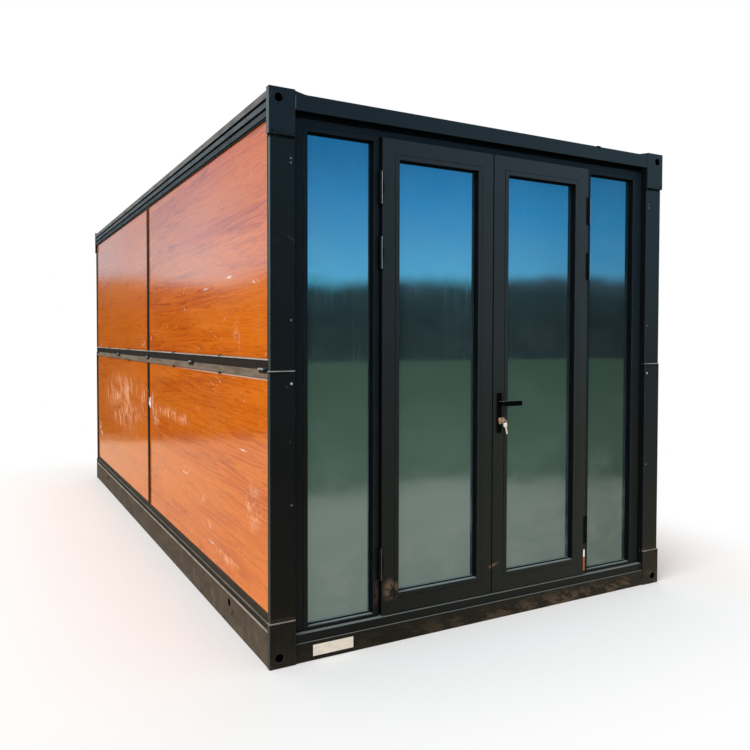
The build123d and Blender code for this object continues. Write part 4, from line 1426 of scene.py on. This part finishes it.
def plastic_film(name, colour, dirt):
    """Thin matt polythene film, creased and a little dirty."""
    material, tree, place = blank_finish(name)
    crease = patches(tree, place, (0.01, 0.01, 0.02), detail=6.0)
    return finished(material, tree, {
        "Base Color": layered(tree, colour, (step(tree, crease, 0.4, 0.8), dirt)),
        "Roughness": 0.5,
        "Normal": add(tree, "Bump", {"Height": crease, "Strength": 0.4, "Distance": 0.5 * MM}),
        "IOR": 1.5,
    })


white_film = plastic_film("white_film", "#F4E9DC", "#CDB9A4")
orange_film = plastic_film("orange_film", "#B4552A", "#6E3A22")
piece("film_scrap_white", white_film, curled_strip, SCRAP_SPLIT, SCRAP_TOP,
      body="right_leaf", slot="label_plate")
piece("film_scrap_orange", orange_film, curled_strip, SCRAP_BOTTOM, SCRAP_SPLIT,
      body="right_leaf", slot="label_plate")


# ================================================================ lever, lock and keys
# A satin black lever on a long plate, and a brass cylinder lock with its key left in. A
# second key hangs from a split ring through the bow of the first.


def satin_black(name):
    """Satin black electrocoat on die-cast zinc: smooth, faintly glossy, rubbed edges, and a painted
    highlight on faces that look up.
    """
    material, tree, place = blank_finish(name)
    rounded = add(tree, "Bevel", {"Radius": 1 * MM}, samples=4)
    cloud = patches(tree, place, 0.03, detail=5.0)
    coat = layered(
        tree,
        "#010101",
        (cloud, "#050505"),
        (product(tree, worn_edge(tree, rounded, place), 0.6), "#8A8880"),
        # Painted highlight: faces that look up drawn pale grey.
        (product(tree, ledge(tree), 0.8), "#9A9C98"),
    )
    return finished(material, tree, {
        "Base Color": coat,
        "Roughness": add(tree, "Math", {0: cloud, 1: 0.2, 2: 0.25}, operation="MULTIPLY_ADD"),
        "Normal": rounded,
        "IOR": 1.5,
        "Specular IOR Level": 0.06,
    })


def turned_metal(name, colour, worn, roughness, clean):
    """Machined plain metal, lightly brushed, with tarnish in soft spots.

    clean is how much of it still mirrors under the dull film that handling leaves.
    """
    material, tree, place = blank_finish(name)
    tarnish = step(tree, patches(tree, place, 8 * MM), 0.4, 0.75)
    rough = {0: tarnish, 1: 0.2, 2: roughness}
    return finished(material, tree, {
        "Base Color": layered(tree, colour, (product(tree, tarnish, 0.6), worn)),
        "Metallic": clean,
        "Roughness": add(tree, "Math", rough, operation="MULTIPLY_ADD"),
        "Normal": add(tree, "Bevel", {"Radius": 0.8 * MM}, samples=4),
    })


dress(satin_black("satin_black_hardware"), "handle_plates", "door_lever")
dress(turned_metal("cylinder_brass", "#F8CDB0", "#C88A64", 0.3, 0.7), "lock_cylinder")
dress(turned_metal("key_brass", "#F0BC9A", "#8A5A40", 0.3, 0.7), "lock_key")
nickel = turned_metal("key_nickel", "#FFF1E2", "#EBD8C4", 0.35, 0.35)

KEY_RING = 10.5 * MM
KEY_RING_WIRE = 0.8 * MM
KEY_RING_LEAN = (-0.6, -1, 0.15)
KEY_HOLE_FROM_FRONT = 5 * MM
# The spare key's outline in millimetres, from the hole in its round-shouldered bow.
KEY_OUTLINE = (
    (0, 4), (4, 4), (9, 2), (12, -4), (12, -12), (9, -18), (4.5, -20), (4.5, -24),
    (3.8, -30), (4.5, -33), (3.4, -37), (4.4, -41), (3.2, -46), (4.2, -50), (2, -56),
    (-3, -56), (-4, -52), (-4, -20), (-9, -18), (-12, -12), (-12, -4), (-9, 2), (-4, 4),
)
KEY_THICKNESS = 2.0 * MM
SPARE_KEY_LEAN = math.radians(15)

key_low, key_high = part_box("lock_key")
ring_top = (key_low + key_high) / 2
ring_top.y = key_low.y + KEY_HOLE_FROM_FRONT
ring_middle = ring_top + Vector((4 * MM, 0.0, -KEY_RING))


def key_ring(shape):
    """Round wire bent into a closed ring."""
    axes = Vector(KEY_RING_LEAN).to_track_quat("Z", "Y").to_matrix()
    loft(shape, [
        [
            ring_middle + axes @ (out * (KEY_RING + spoke.x) + Vector((0, 0, spoke.y)))
            for spoke in circle(KEY_RING_WIRE, 8)
        ]
        for out in circle(1.0, 32)
    ], closed=True)


def spare_key(shape):
    """A flat key: round-shouldered bow and a stepped, cut blade."""
    top = ring_middle + Vector((3 * MM, -1 * MM, -KEY_RING + 3 * MM))
    lean = Matrix.Rotation(-SPARE_KEY_LEAN, 3, "Y")
    loft(shape, [
        [lean @ Vector((x * MM, depth, z * MM)) + top for x, z in KEY_OUTLINE]
        for depth in (-KEY_THICKNESS / 2, KEY_THICKNESS / 2)
    ])


piece("key_ring", nickel, key_ring, body="right_leaf", slot="door_hardware")
piece("spare_key", nickel, spare_key, body="right_leaf", slot="door_hardware")


# ================================================================ bare plate
# A thin plate of coated aluminium, glued to the front base beam near its left end. It is
# left plain, with dirt wiped over it.


def plate_enamel(name):
    """White coated plate, a little yellowed, with faint dirt wiped across it."""
    material, tree, place = blank_finish(name)
    dirt = step(tree, patches(tree, place, (0.05, 0.02, 0.012), detail=7.0), 0.4, 0.8)
    return finished(material, tree, {
        "Base Color": layered(tree, "#E2D8C9", (product(tree, dirt, 0.5), "#BFAD97")),
        "Roughness": add(tree, "Math", {0: dirt, 1: 0.3, 2: 0.35}, operation="MULTIPLY_ADD"),
        "Normal": add(tree, "Bevel", {"Radius": 0.8 * MM}, samples=4),
        "IOR": 1.5,
    })


dress(plate_enamel("white_plate_enamel"), "blank_plate")
